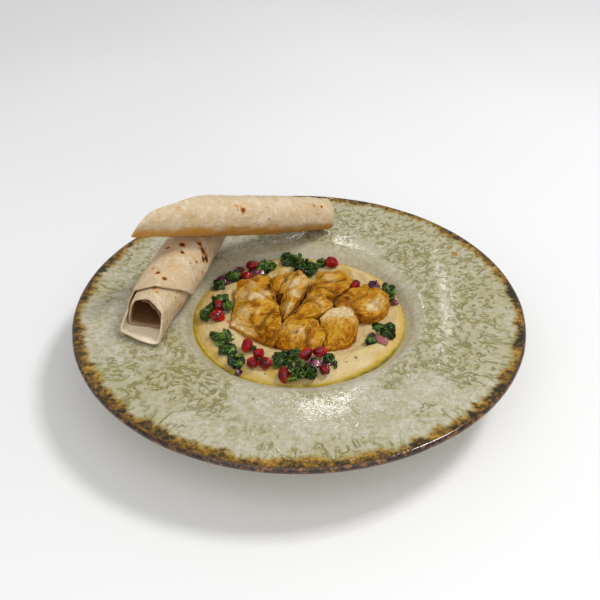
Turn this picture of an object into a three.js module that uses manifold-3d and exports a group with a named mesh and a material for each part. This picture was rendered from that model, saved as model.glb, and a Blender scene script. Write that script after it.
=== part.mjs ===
// Hummus in a wide-rimmed stoneware plate, topped with torn chicken, pomegranate arils, chopped
// herbs and red onion, with a ring of oil, and two rolled flatbreads leaning across the rim.
// Millimetres, +Z up, origin on the table under the centre of the plate.
import * as THREE from 'three';
import { mergeVertices } from 'three/addons/utils/BufferGeometryUtils.js';
import Module from 'manifold-3d';

const wasm = await Module();
wasm.setup();

// ---------------------------------------------------------------- driving dimensions

const GAP = 0.3; // clearance between pieces that touch
const SECTORS = 48; // facets round the plate, the hummus and the oil
const CURVE_STEPS = 3; // facets along each curve of the plate's section
const ROOM_TOP = 130; // above everything that lies in the plate

const PLATE = {
  radius: 140,
  lipHeight: 42,
  lipThickness: 4.5,
  wellRadius: 79, // where the rim starts to turn down into the well
  wellEdgeHeight: 38.4,
  wellBend: [74.9, 38.1], // points are radius and height; a bend is a curve's control point
  wallTop: [71.4, 34.8], // straight sloping wall of the well
  wallFoot: [57.7, 19.9],
  floorBend: [50.5, 12.3],
  floorRadius: 40,
  floorHeight: 11.9,
  recess: 4.5, // height of the underside inside the foot ring
  footInner: 50,
  footOuter: 56.5,
  footTaper: 1.5,
  footHeight: 7,
  underFoot: [62.5, 16], // outside of the well, from the foot ring up to the rim
  underFootBend: [59.5, 12.5],
  underWall: [71.5, 27],
  underRimBend: [76.5, 33.2],
  underRim: [85, 33.6],
  lipFrom: -86, // degrees of the round lip, from under the rim to the top of the rim
  lipTo: 94,
};

const DIP = {
  level: 32.4, // spread surface between the chicken and the wall
  oilLevel: 30.2,
  shoulder: 7, // width of the edge that rounds down into the oil
  blockRadius: 76, // the block that the inside of the plate trims
  blockBase: 5,
  ripple: 0.35, // faint spiral left by the spoon: height, distance between ridges, arms
  rippleStep: 3.2,
  rippleArms: 2,
};

// Radii of the rings of facets over the spread, closer together towards its edge.
const DIP_RINGS = [14, 28, 38, 45, 50, 54, 57.5, 60.5, 63, 65, 67];

// The ring that the oil is cut from.
const OIL = { inner: 57, outer: 75, base: 24 };

// Radius at which the spread dips under the oil, by azimuth in degrees; over 67 there is no oil.
const DIP_EDGE = [
  [-180, 64.4], [-160, 64.2], [-130, 64.9], [-100, 65.2], [-76, 64.6], [-55, 63.4],
  [-30, 64.2], [-5, 65.4], [15, 67], [35, 69.5], [130, 69.5], [150, 66.5], [180, 64.4],
];

// The chicken lies in a shallow bed pressed into the spread, with a raised lip round it. Shares
// are of the way out from the bed's centre to its edge.
const BED = {
  x: 7,
  y: 5,
  halfWidth: 52,
  halfDepth: 43,
  squareness: 3, // exponent of the rounded outline
  depth: 2.6,
  flatShare: 0.8,
  lip: 0.9,
  lipShare: 1.07,
  lipWidth: 0.07,
  marksFrom: 0.92, // spoon marks fade in from here
  marksFull: 1.05,
};

// Soft mounds and spoon marks of the spread: centre, half length, half width, heading, height.
const SPOON_MARKS = [
  { x: -14, y: 57, long: 9, wide: 7, heading: 0, height: 2.4 },
  { x: 38, y: -37, long: 24, wide: 6, heading: 42, height: 1.5 },
  { x: 30, y: -50, long: 22, wide: 4, heading: 30, height: -1.0 },
  { x: 45, y: -14, long: 10, wide: 5, heading: 60, height: 1.6 },
  { x: -52, y: -12, long: 12, wide: 5, heading: 100, height: 1.1 },
  { x: -17, y: -43, long: 13, wide: 4, heading: -20, height: 1.4 },
  { x: 40, y: 44, long: 14, wide: 5, heading: -45, height: 1.2 },
];

// ---------------------------------------------------------------- small helpers

const degrees = THREE.MathUtils.degToRad;
const smooth = THREE.MathUtils.smoothstep;
const lerp = THREE.MathUtils.lerp;

function randomFrom(seed) {
  let state = seed * 7919 + 17;
  return (low, high) => {
    state = (state * 1103515245 + 12345) % 2147483648;
    return low + (high - low) * (state / 2147483648);
  };
}

function between(knots, at) {
  const next = knots.findIndex(([where]) => where >= at);
  const high = knots[Math.max(next, 1)];
  const low = knots[Math.max(next, 1) - 1];
  const t = THREE.MathUtils.clamp((at - low[0]) / (high[0] - low[0]), 0, 1);
  return lerp(low[1], high[1], t * t * (3 - 2 * t));
}

function solidOf(geometry) {
  const bare = geometry.clone();
  bare.deleteAttribute('normal');
  bare.deleteAttribute('uv');
  const merged = mergeVertices(bare, 1e-4);
  return new wasm.Manifold(new wasm.Mesh({
    numProp: 3,
    vertProperties: new Float32Array(merged.attributes.position.array),
    triVerts: new Uint32Array(merged.index.array),
  }));
}

function geometryOf(solid) {
  const { vertProperties, triVerts } = solid.getMesh();
  const geometry = new THREE.BufferGeometry();
  geometry.setAttribute('position', new THREE.BufferAttribute(vertProperties, 3));
  geometry.setIndex(new THREE.BufferAttribute(triVerts, 1));
  geometry.computeVertexNormals();
  return geometry;
}

function largestPiece(solid) {
  const pieces = solid.decompose();
  return pieces.reduce((best, piece) => (piece.volume() > best.volume() ? piece : best));
}

// Moves every vertex of a geometry to the place that a function gives.
function reshape(geometry, place) {
  const position = geometry.attributes.position;
  const point = new THREE.Vector3();
  for (let i = 0; i < position.count; i += 1) {
    point.fromBufferAttribute(position, i);
    const [x, y, z] = place(point.x, point.y, point.z);
    position.setXYZ(i, x, y, z);
  }
  return geometry;
}

// Turns a profile of [radius, height] points about the Z axis.
function turned(profile, sectors = SECTORS) {
  const lathe = new THREE.LatheGeometry(profile, sectors);
  return lathe.rotateX(Math.PI / 2);
}

// A closed skin round a grid: place(u, v, side) gives the points, u and v from 0 to 1 and side
// -1 or 1. Both faces are split into triangles alike.
function sheetGeometry(across, along, place) {
  const columns = across + 1;
  const rows = along + 1;
  const points = [];
  for (const side of [-1, 1]) {
    for (let j = 0; j < rows; j += 1) {
      for (let i = 0; i < columns; i += 1) {
        points.push(...place(i / across, j / along, side));
      }
    }
  }
  const faces = new THREE.PlaneGeometry(1, 1, across, along).index.array;
  const other = columns * rows;
  const index = [];
  for (let k = 0; k < faces.length; k += 3) {
    const [a, b, c] = faces.slice(k, k + 3);
    index.push(a, b, c, other + a, other + c, other + b);
  }
  const rim = [];
  for (let i = 0; i < across; i += 1) rim.push(i);
  for (let j = 0; j < along; j += 1) rim.push(j * columns + across);
  for (let i = across; i > 0; i -= 1) rim.push(along * columns + i);
  for (let j = along; j > 0; j -= 1) rim.push(j * columns);
  rim.forEach((a, k) => {
    const b = rim[(k + 1) % rim.length];
    index.push(a, b, other + b, a, other + b, other + a);
  });
  const geometry = new THREE.BufferGeometry();
  geometry.setAttribute('position', new THREE.Float32BufferAttribute(points, 3));
  geometry.setIndex(index);
  return geometry;
}

// ---------------------------------------------------------------- plate

// The inside of the plate, from the rim down the wall to the centre of the floor.
function insideOfWell(path, offset = 0) {
  const { wellRadius, wellEdgeHeight, wallTop, wallFoot, floorRadius, floorHeight } = PLATE;
  const inward = (r, z) => [Math.max(r - offset, 0), z + offset];
  path.lineTo(...inward(wellRadius, wellEdgeHeight));
  path.quadraticCurveTo(...inward(...PLATE.wellBend), ...inward(...wallTop));
  path.lineTo(...inward(...wallFoot));
  path.quadraticCurveTo(...inward(...PLATE.floorBend), ...inward(floorRadius, floorHeight));
  path.lineTo(0, floorHeight + offset);
}

function plateSolid() {
  const lip = PLATE.lipThickness / 2;
  const lipCentre = [PLATE.radius - lip, PLATE.lipHeight - lip];
  const path = new THREE.Path();
  path.moveTo(0, PLATE.recess);
  path.lineTo(PLATE.footInner - PLATE.footTaper, PLATE.recess);
  path.lineTo(PLATE.footInner, 0);
  path.lineTo(PLATE.footOuter, 0);
  path.lineTo(PLATE.footOuter + PLATE.footTaper, PLATE.footHeight);
  path.quadraticCurveTo(...PLATE.underFootBend, ...PLATE.underFoot);
  path.lineTo(...PLATE.underWall);
  path.quadraticCurveTo(...PLATE.underRimBend, ...PLATE.underRim);
  path.absarc(...lipCentre, lip, degrees(PLATE.lipFrom), degrees(PLATE.lipTo), false);
  insideOfWell(path);
  return solidOf(turned(path.getPoints(CURVE_STEPS)));
}

// Everything above the plate's inner face, a little clear of it.
function roomInPlate() {
  const path = new THREE.Path();
  path.moveTo(0, ROOM_TOP);
  path.lineTo(PLATE.radius, ROOM_TOP);
  path.lineTo(PLATE.radius, PLATE.lipHeight + 1);
  insideOfWell(path, GAP);
  return solidOf(turned(path.getPoints(CURVE_STEPS).reverse()));
}

// ---------------------------------------------------------------- hummus and oil

function bedFill(x, y) {
  const across = Math.abs((x - BED.x) / BED.halfWidth);
  const deep = Math.abs((y - BED.y) / BED.halfDepth);
  return (across ** BED.squareness + deep ** BED.squareness) ** (1 / BED.squareness);
}

function dipTop(x, y) {
  const radius = Math.hypot(x, y);
  const azimuth = Math.atan2(y, x);
  const fill = bedFill(x, y);
  const marked = smooth(fill, BED.marksFrom, BED.marksFull);
  let height = DIP.level - BED.depth * (1 - smooth(fill, BED.flatShare, 1));
  height += BED.lip * Math.exp(-(((fill - BED.lipShare) / BED.lipWidth) ** 2));
  height += DIP.ripple * Math.sin(radius / DIP.rippleStep + azimuth * DIP.rippleArms) * marked;
  for (const mark of SPOON_MARKS) {
    const dx = x - mark.x;
    const dy = y - mark.y;
    const turn = degrees(mark.heading);
    const u = (dx * Math.cos(turn) + dy * Math.sin(turn)) / mark.long;
    const v = (dy * Math.cos(turn) - dx * Math.sin(turn)) / mark.wide;
    height += mark.height * Math.exp(-(u * u + v * v)) * marked;
  }
  const edge = between(DIP_EDGE, THREE.MathUtils.radToDeg(azimuth));
  const past = Math.max(radius - (edge - DIP.shoulder), 0);
  return height - (DIP.level - DIP.oilLevel) * (past / DIP.shoulder) ** 2;
}

// The spread before the well trims it, grown upward by a clearance.
function dipBlock(grow) {
  const radii = [0, ...DIP_RINGS, DIP.blockRadius];
  const top = radii.reverse().map((r) => new THREE.Vector2(r, DIP.level));
  const base = [0, DIP.blockRadius].map((r) => new THREE.Vector2(r, DIP.blockBase));
  const geometry = turned([...base, ...top]);
  return solidOf(reshape(geometry, (x, y, z) => [x, y, z > DIP.blockBase ? dipTop(x, y) + grow : z]));
}

// A square ring up to the level of the oil, which the well and the spread trim.
function oilBlock(grow) {
  const { inner, outer, base } = OIL;
  const level = DIP.oilLevel + grow;
  const corners = [[inner, base], [outer, base], [outer, level], [inner, level], [inner, base]];
  return solidOf(turned(corners.map(([r, z]) => new THREE.Vector2(r, z))));
}

// ---------------------------------------------------------------- chicken

// Each torn piece: its plan corners with their heights, clockwise, and the height over its middle.
const CHICKEN = [
  {
    name: 'chicken_left',
    middle: [-26, 3, 44.5],
    corners: [[-40, 26, 40], [-31, 27, 41.5], [-16, 13, 43.5], [-12, -6, 43], [-10, -23, 40],
      [-15, -33, 34.5], [-29, -23, 35], [-42, -13, 35.5]],
  },
  {
    name: 'chicken_front',
    middle: [2, -24, 43.5],
    corners: [[-10, -17, 41], [1, -18, 43.5], [11, -17, 42.5], [16, -27, 40.5], [14, -37, 35],
      [-3, -38, 35], [-14, -33, 35], [-14, -25, 39]],
  },
  {
    name: 'chicken_front_right',
    middle: [26, -17, 45],
    corners: [[13, -16, 43], [20, -8, 44.5], [33, -8, 44.5], [36, -14, 42.5], [35, -25, 37],
      [29, -33, 34.5], [16, -37, 35]],
  },
  {
    name: 'chicken_back_left',
    middle: [-1, 15, 45.5],
    corners: [[-9, 33, 42.5], [0, 34, 44], [8, 24, 44], [7, 16, 44], [-2, -5, 42], [-10, -16, 40],
      [-12, -1, 38], [-10, 17, 42]],
  },
  {
    name: 'chicken_middle',
    middle: [8, -7, 46.5],
    corners: [[5, 3, 44.5], [15, 3, 45.5], [23, 4, 43], [21, -3, 42.5], [14, -11, 42.5],
      [2, -18, 42.5], [-9, -17, 40.5]],
  },
  {
    name: 'chicken_back_right',
    middle: [20, 21, 47.5],
    corners: [[7, 18, 43.5], [15, 37, 42], [28, 33, 44], [35, 25, 42.5], [27, 11, 41.5],
      [14, 3, 44.5], [4, 3, 44]],
  },
  {
    name: 'chicken_right',
    middle: [43, 5, 39.5],
    corners: [[22, 4, 41], [28, 11, 42.5], [40, 17, 44], [49, 17, 43.5], [57, 10, 42],
      [56, 0, 39.5], [46, -8, 36], [35, -6, 39.5], [24, -2, 40]],
  },
  {
    name: 'chicken_scrap_back',
    middle: [-13, 24, 42.5],
    corners: [[-20, 30, 40.5], [-11, 33, 42.5], [-8, 24, 43], [-11, 14, 40], [-18, 16, 38.5]],
  },
  {
    name: 'chicken_scrap_left',
    middle: [-25, 26, 43],
    corners: [[-32, 30, 39.5], [-27, 33, 41], [-19, 31, 41.5], [-19, 21, 42], [-26, 19, 42]],
  },
];

// Shallow folds across the pieces, as lines with a depth and a half width.
const FOLDS = [
  { from: [-2, 34], to: [-9, 12], depth: 1.2, wide: 2.6 },
  { from: [9, 19], to: [33, 24], depth: 2.2, wide: 2.8 },
  { from: [-14, -3], to: [-29, -22], depth: 1.6, wide: 3 },
  { from: [-36, 24], to: [-36, -10], depth: 0.9, wide: 3 },
  { from: [14, -34], to: [12, -16], depth: 1.0, wide: 2.6 },
];

function foldDepth(x, y) {
  let depth = 0;
  for (const { from, to, depth: most, wide } of FOLDS) {
    const line = new THREE.Line3(new THREE.Vector3(...from, 0), new THREE.Vector3(...to, 0));
    const point = new THREE.Vector3(x, y, 0);
    const nearest = line.closestPointToPoint(point, true, new THREE.Vector3());
    depth += most * Math.exp(-((nearest.distanceTo(point) / wide) ** 2));
  }
  return depth;
}

// A slab with a rounded edge: [share of the way out, share of the height] from the underside
// over the edge to the middle of the top.
const SLAB_PROFILE = [[0, 0], [0.96, 0], [1, 0.35], [1, 0.84], [0.92, 0.99], [0.66, 1], [0.34, 1], [0, 1]];
const SLAB = { base: 28, sectors: 16, tension: 0.25, crown: 1.5 }; // crown: how late the top falls

function chickenSolid({ middle, corners }, grow = 0) {
  const outline = new THREE.CatmullRomCurve3(
    corners.map((corner) => new THREE.Vector3(...corner)), true, 'catmullrom', SLAB.tension);
  const profile = SLAB_PROFILE.map(([out, up]) => new THREE.Vector2(out, up));
  const centre = new THREE.Vector3(...middle);
  const geometry = turned(profile, SLAB.sectors);
  return solidOf(reshape(geometry, (x, y, z) => {
    const out = Math.hypot(x, y);
    const turn = (1 - Math.atan2(y, x) / (2 * Math.PI)) % 1;
    const edge = outline.getPoint(turn);
    const reach = edge.clone().sub(centre).setZ(0);
    const share = out * (1 + grow / reach.length());
    const px = centre.x + reach.x * share;
    const py = centre.y + reach.y * share;
    const top = lerp(centre.z, edge.z, out ** SLAB.crown) - foldDepth(px, py) + grow;
    return [px, py, lerp(SLAB.base - grow, top, z)];
  }));
}

// ---------------------------------------------------------------- flatbread rolls

// Both are wound from a round sheet, so the outer turns are shorter than the inner ones. Turns
// count clockwise from the top, seen along the axis from the near end; the last one ends beneath.
// Edges give where the sheet begins and ends along the axis, by turn. Swell and flatten scale
// the winding and its height, by distance along the axis. The first turn sags into the hollow.
// Mouth scales the radius at the near end, by share of a turn, and fades out along the roll.
const ROLL_GRID = { perTurn: 14, along: 4 };

const LOWER_ROLL = {
  name: 'flatbread_lower',
  near: [-89.3, -33.4, 56.25],
  far: [-53.2, 118.8, 56],
  innerRadius: 10.6,
  turns: [-1.15, 1.45],
  thickness: 1.9,
  pitch: 2.9,
  sag: { turn: -0.9, depth: 8.6, wide: 0.22 },
  mouth: [[0, 0.86], [0.13, 0.7], [0.25, 0.62], [0.42, 1.06], [0.52, 0.98], [0.65, 1.3],
    [0.77, 0.98], [0.87, 0.84], [1, 0.86]],
  mouthLength: 34,
  swell: [[0, 1], [14, 1], [42, 0.9], [150, 0.88]],
  flatten: [[0, 0.97], [14, 0.97], [42, 1.06], [62, 1.155], [86, 1.02], [120, 0.98]],
  nearEdge: [[-1.15, 8], [-0.5, 5], [-0.25, 3], [0, 2], [0.25, 0], [0.5, -7], [0.65, -2],
    [0.8, 8], [0.98, 10], [1.12, 16.3], [1.25, 27.5], [1.45, 56]],
  farEdge: [[-1.15, 112], [0, 116], [0.75, 117], [0.86, 128], [1, 115], [1.25, 104], [1.45, 86]],
};

const UPPER_ROLL = {
  name: 'flatbread_upper',
  near: [24, 99.4, 48],
  far: [-103.5, -1.1, 104.4],
  innerRadius: 6.9,
  turns: [-1.3, 1.5],
  thickness: 1.9,
  pitch: 2.5,
  sag: { turn: -1.05, depth: 1.6, wide: 0.18 },
  mouth: [[0, 1], [1, 1]],
  mouthLength: 10,
  swell: [[0, 0.84], [60, 1], [100, 1], [150, 0.96]],
  flatten: [[0, 0.97], [150, 0.97]],
  nearEdge: [[-1.3, 10], [0, 7], [0.5, 6], [0.65, 5.5], [0.75, 7.5], [0.9, 8], [1, 6.5], [1.1, 2],
    [1.25, -1], [1.4, 7], [1.5, 10]],
  farEdge: [[-1.3, 104], [-0.75, 122], [-0.5, 130], [0, 108], [0.25, 122], [0.5, 162], [0.6, 167],
    [0.68, 168.5], [0.78, 165.5], [0.87, 157], [0.95, 137], [1.05, 118], [1.2, 112], [1.5, 140]],
};

function rollSolid(roll) {
  const [first, last] = roll.turns;
  const steps = Math.round((last - first) * ROLL_GRID.perTurn);
  const start = new THREE.Vector3(...roll.near);
  const along = new THREE.Vector3(...roll.far).sub(start).normalize();
  const right = new THREE.Vector3().crossVectors(along, new THREE.Vector3(0, 0, 1)).normalize();
  const up = new THREE.Vector3().crossVectors(right, along);

  // Middle line of the sheet, in the plane across the roll.
  const middleLine = (turn) => {
    const sag = Math.exp(-(((turn - roll.sag.turn) / roll.sag.wide) ** 2)) * roll.sag.depth;
    const radius = roll.innerRadius + roll.pitch * (turn - first) - sag;
    return new THREE.Vector2(Math.sin(turn * 2 * Math.PI), Math.cos(turn * 2 * Math.PI))
      .multiplyScalar(radius);
  };

  const nudge = 0.02;
  return solidOf(sheetGeometry(steps, ROLL_GRID.along, (u, v, side) => {
    const turn = lerp(first, last, u);
    const tangent = middleLine(turn + nudge).sub(middleLine(turn - nudge)).normalize();
    const point = middleLine(turn)
      .addScaledVector(new THREE.Vector2(-tangent.y, tangent.x), side * roll.thickness / 2);
    const distance = lerp(between(roll.nearEdge, turn), between(roll.farEdge, turn), v);
    const pinch = between(roll.mouth, turn - Math.floor(turn));
    const open = smooth(distance, 0, roll.mouthLength);
    const swell = between(roll.swell, distance) * lerp(pinch, 1, open);
    return start.clone()
      .addScaledVector(along, distance)
      .addScaledVector(right, point.x * swell)
      .addScaledVector(up, point.y * swell * between(roll.flatten, distance))
      .toArray();
  }));
}

// ---------------------------------------------------------------- small toppings

const SEEDS = { aril: 40, herb: 7 };
const GOLDEN_TURN = degrees(137.5);

// Pomegranate arils: centre, how far they are lifted off the spread, heading and steepness.
const ARILS = [
  { x: -51, y: -7, lift: 0, heading: 185, steep: 8, long: 9.6 },
  { x: -51, y: 3.5, lift: 1.6, heading: 100, steep: 40, long: 8.4 },
  { x: -31.5, y: -36, lift: 0.4, heading: 80, steep: 30, long: 9.2 },
  { x: -24, y: -43.5, lift: 0.6, heading: 20, steep: 20, long: 8.2 },
  { x: -27.5, y: -51, lift: 0.2, heading: -60, steep: 12, long: 8.6 },
  { x: -20, y: -51.5, lift: 0.1, heading: -30, steep: 10, long: 8.4 },
  { x: -8.8, y: -61, lift: 0.3, heading: 95, steep: 38, long: 9.8 },
  { x: 4, y: -44.5, lift: 2.6, heading: 30, steep: 15, long: 8.6 },
  { x: 12.6, y: -43.5, lift: 2.2, heading: -5, steep: 6, long: 9.4 },
  { x: 14.6, y: -56.5, lift: 0.4, heading: -50, steep: 20, long: 8.6 },
  { x: -35, y: 36.5, lift: 2.2, heading: -10, steep: 5, long: 9 },
  { x: -31.5, y: 50.5, lift: 1.4, heading: 5, steep: 12, long: 9.4 },
  { x: 22.7, y: 53, lift: 0.8, heading: 5, steep: 6, long: 9.8 },
  { x: 36.5, y: 23, lift: 6.4, heading: 50, steep: 30, long: 9.2 },
];

// Shares of the aril's length: least and most width, narrowing to the tip and to the other end,
// faceting by its neighbours; then height as a share of width and how far the centre stands up.
const ARIL = { thin: 0.74, fat: 0.84, tip: 0.26, tail: 0.1, facet: 0.05, height: 0.92, stand: 0.38 };

function arilSolid({ x, y, lift, heading, steep, long }, index, grow = 0) {
  const random = randomFrom(index + SEEDS.aril);
  const wide = long * random(ARIL.thin, ARIL.fat);
  const geometry = new THREE.SphereGeometry(1, 7, 5);
  reshape(geometry, (px, py, pz) => {
    const narrow = 1 - ARIL.tip * Math.max(px, 0) ** 2 + ARIL.tail * Math.min(px, 0);
    const side = narrow * (1 + ARIL.facet * Math.sin(3 * Math.atan2(pz, py)));
    return [px * (long / 2 + grow), py * side * (wide / 2 + grow),
      pz * side * (wide * ARIL.height / 2 + grow)];
  });
  geometry.rotateX(random(0, Math.PI));
  geometry.rotateY(-degrees(steep));
  geometry.rotateZ(degrees(heading));
  geometry.translate(x, y, dipTop(x, y) + wide * ARIL.stand + lift);
  return solidOf(geometry);
}

// Chopped herbs: a line that the leaves are strewn along, their number and size, and the lift.
const HERBS = [
  { from: [-60, -2], to: [-56.5, 2.5], leaves: 2, size: 7.5, lift: 0.2 },
  { from: [-53.5, 9.5], to: [-44.5, 6], leaves: 3, size: 8.5, lift: 1.8 },
  { from: [-51, -25], to: [-43, -25], leaves: 3, size: 7.5, lift: 0.4 },
  { from: [-43, -33], to: [-41.5, -42], leaves: 2, size: 7, lift: 0.4 },
  { from: [-40, -48], to: [-34.5, -49.5], leaves: 2, size: 7, lift: 0.4 },
  { from: [-13, -49.5], to: [-4, -47], leaves: 4, size: 8.5, lift: 0.8 },
  { from: [-2, -63], to: [-2, -57.5], leaves: 2, size: 7, lift: 0.4 },
  { from: [6, -59], to: [7.5, -55], leaves: 2, size: 6, lift: 0.4 },
  { from: [16.5, -49], to: [19.5, -47.5], leaves: 2, size: 5.5, lift: 0.4 },
  { from: [-45, 38.5], to: [-40.5, 40.5], leaves: 2, size: 7, lift: 0.5 },
  { from: [-22.5, 52], to: [-21.5, 45], leaves: 3, size: 8.5, lift: 2 },
  { from: [-54.5, 29], to: [-53, 31], leaves: 2, size: 5, lift: 0.3 },
  { from: [-9.5, 57], to: [-4.5, 54], leaves: 3, size: 7.5, lift: 1.2 },
  { from: [2.5, 53], to: [9.5, 44], leaves: 5, size: 9, lift: 2.6 },
  { from: [14, 56.5], to: [15, 55], leaves: 2, size: 5.5, lift: 0.8 },
  { from: [59, 20], to: [60, 14], leaves: 2, size: 7.5, lift: 0.8 },
  { from: [52, -18.5], to: [55.5, -21], leaves: 3, size: 7.5, lift: 0.6 },
  { from: [43, -25.5], to: [43.5, -29.5], leaves: 2, size: 5.5, lift: 0.2 },
];

// A leaf from its root outward: it rises, droops towards its tip and folds along its middle.
// Lengths and widths are shares of the leaf's size; fold is in millimetres, roll in degrees.
const LEAF = {
  long: [0.75, 1],
  wide: [0.5, 0.75],
  widths: [0.45, 1, 0.5], // at the root, the middle and the tip
  rise: [0.1, 0.7],
  droop: [0.18, 0.54],
  fold: [-1.2, 1.6],
  roll: [-35, 35],
  thickness: 0.84,
};

// The heart of a clump, as shares of its leaves' size.
const CLUMP = { end: 0.3, width: 0.32, height: 0.24, stand: 0.14, rootTop: 0.26 };

function leafSolid(random, at, heading, size, grow) {
  const long = size * random(...LEAF.long);
  const wide = size * random(...LEAF.wide);
  const rise = random(...LEAF.rise);
  const droop = random(...LEAF.droop);
  const fold = random(...LEAF.fold);
  const half = LEAF.thickness / 2 + grow;
  const geometry = sheetGeometry(2, 2, (u, v, side) => {
    const across = v * 2 - 1;
    const out = LEAF.widths[Math.round(u * 2)];
    return [u * long + (u * 2 - 1) * grow, across * (wide * out / 2 + grow),
      long * (rise * u - droop * u * u) + fold * Math.abs(across) * out + side * half];
  });
  geometry.rotateX(degrees(random(...LEAF.roll)));
  geometry.rotateZ(heading);
  geometry.translate(...at);
  return solidOf(geometry);
}

function herbSolid({ from, to, leaves, size, lift }, index, grow = 0) {
  const random = randomFrom(index + SEEDS.herb);
  const middle = [(from[0] + to[0]) / 2, (from[1] + to[1]) / 2];
  const length = Math.hypot(to[0] - from[0], to[1] - from[1]);
  const floor = dipTop(...middle) + lift;
  const core = new THREE.SphereGeometry(1, 5, 3);
  core.scale(length / 2 + size * CLUMP.end + grow, size * CLUMP.width + grow,
    size * CLUMP.height + grow);
  core.rotateZ(Math.atan2(to[1] - from[1], to[0] - from[0]));
  core.translate(...middle, floor + size * CLUMP.stand);
  let clump = solidOf(core);
  const start = random(0, 2 * Math.PI);
  for (let i = 0; i < leaves; i += 1) {
    const share = leaves > 1 ? i / (leaves - 1) : 0.5;
    const at = [lerp(from[0], to[0], share), lerp(from[1], to[1], share),
      floor + size * random(CLUMP.stand, CLUMP.rootTop)];
    clump = clump.add(leafSolid(random, at, start + i * GOLDEN_TURN, size, grow));
  }
  return clump;
}

// Red onion and purple leaf: bent slivers with centre, length, width, heading, tilt and lift.
const ONIONS = [
  { x: -50.5, y: 40.5, long: 12, wide: 4, heading: 40, tilt: 25, lift: 1.2 },
  { x: 49.5, y: 31, long: 8.5, wide: 6, heading: -35, tilt: 35, lift: 1.6 },
  { x: 54, y: 18.5, long: 5.5, wide: 4, heading: 20, tilt: 20, lift: 2.2 },
  { x: 62, y: 10, long: 5, wide: 3.4, heading: 10, tilt: 15, lift: 1 },
  { x: 49.5, y: -28.5, long: 9, wide: 5, heading: -35, tilt: 20, lift: 0.6 },
  { x: 45.5, y: -21, long: 5.5, wide: 4, heading: 60, tilt: 15, lift: 0.8 },
  { x: -27, y: 41.5, long: 9, wide: 4.4, heading: 5, tilt: 25, lift: 3.4 },
  { x: -35, y: -54.5, long: 5.5, wide: 4, heading: 70, tilt: 30, lift: 1.2 },
  { x: 9.5, y: -50.5, long: 8, wide: 4.6, heading: -10, tilt: 20, lift: 1.4 },
  { x: -40.5, y: 50, long: 7, wide: 3.6, heading: 30, tilt: 20, lift: 1 },
];

const SLIVER = { thickness: 1.6, endNarrowing: 0.45, bend: 1.1, stand: 0.9 };

function onionSolid({ x, y, long, wide, heading, tilt, lift }, grow = 0) {
  const half = SLIVER.thickness / 2 + grow;
  const geometry = sheetGeometry(3, 1, (u, v, side) => {
    const along = u * 2 - 1;
    const across = v * 2 - 1;
    const out = 1 - SLIVER.endNarrowing * along * along;
    return [along * (long / 2 + grow), across * out * (wide / 2 + grow),
      -SLIVER.bend * along * along + side * half];
  });
  geometry.rotateX(degrees(tilt));
  geometry.rotateZ(degrees(heading));
  geometry.translate(x, y, dipTop(x, y) + SLIVER.stand + lift);
  return solidOf(geometry);
}

// ---------------------------------------------------------------- materials

function material(colour, roughness) {
  return new THREE.MeshStandardMaterial({ color: colour, roughness, metalness: 0 });
}

const MATERIALS = {
  stoneware: material('#bcb69e', 0.3),
  hummus: material('#d6bc80', 0.6),
  oil: material('#c0a034', 0.1),
  chicken: material('#c89650', 0.5),
  flatbread: material('#e0cdb0', 0.85),
  aril: material('#8e1422', 0.15),
  herb: material('#1f4428', 0.4),
  onion: material('#6b2a4a', 0.35),
};

// ---------------------------------------------------------------- assembly

function named(name, solid, finish) {
  const mesh = new THREE.Mesh(geometryOf(solid), MATERIALS[finish]);
  mesh.name = name;
  return mesh;
}

function numbered(name, index) {
  return `${name}_${String(index + 1).padStart(2, '0')}`;
}

const room = roomInPlate();
const grownDip = dipBlock(GAP);
const plate = new THREE.Group();
plate.add(named('plate', plateSolid(), 'stoneware'));

const spread = new THREE.Group();
spread.add(named('hummus', largestPiece(dipBlock(0).intersect(room)), 'hummus'));
spread.add(named('oil', largestPiece(oilBlock(0).intersect(room).subtract(grownDip)), 'oil'));

// Each topping is trimmed clear of the spread, the plate and the toppings laid before it.
const CLEARANCE = GAP * 1.5;
const REACH = 1; // toppings whose boxes come this close are trimmed
const grownOil = oilBlock(GAP);
const laid = [];

function lay(name, make, finish) {
  const box = make(0).boundingBox();
  const near = laid.filter(({ low, high }) => box.min.every((v, axis) => v < high[axis] + REACH)
    && box.max.every((v, axis) => v > low[axis] - REACH));
  let solid = make(0).subtract(grownDip).subtract(grownOil).intersect(room);
  for (const other of near) solid = solid.subtract(other.grown);
  solid = largestPiece(solid);
  laid.push({ grown: make(CLEARANCE), low: box.min, high: box.max });
  return named(name, solid, finish);
}

const toppings = new THREE.Group();
for (const piece of CHICKEN) {
  toppings.add(lay(piece.name, (grow) => chickenSolid(piece, grow), 'chicken'));
}
ARILS.forEach((aril, i) => {
  toppings.add(lay(numbered('aril', i), (grow) => arilSolid(aril, i, grow), 'aril'));
});
ONIONS.forEach((sliver, i) => {
  toppings.add(lay(numbered('onion', i), (grow) => onionSolid(sliver, grow), 'onion'));
});
HERBS.forEach((herb, i) => {
  toppings.add(lay(numbered('herb', i), (grow) => herbSolid(herb, i, grow), 'herb'));
});

const breads = new THREE.Group();
for (const roll of [LOWER_ROLL, UPPER_ROLL]) {
  breads.add(named(roll.name, rollSolid(roll), 'flatbread'));
}

const dish = new THREE.Group();
dish.add(plate, spread, toppings, breads);

export default dish;
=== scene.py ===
"""Looks of the hummus plate: glazed stoneware, hummus with a ring of oil, torn chicken, pomegranate
arils, chopped herbs, red onion and two rolled flatbreads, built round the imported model.

Lengths are in millimetres in the code and are turned into metres when a mesh is made."""

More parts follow.
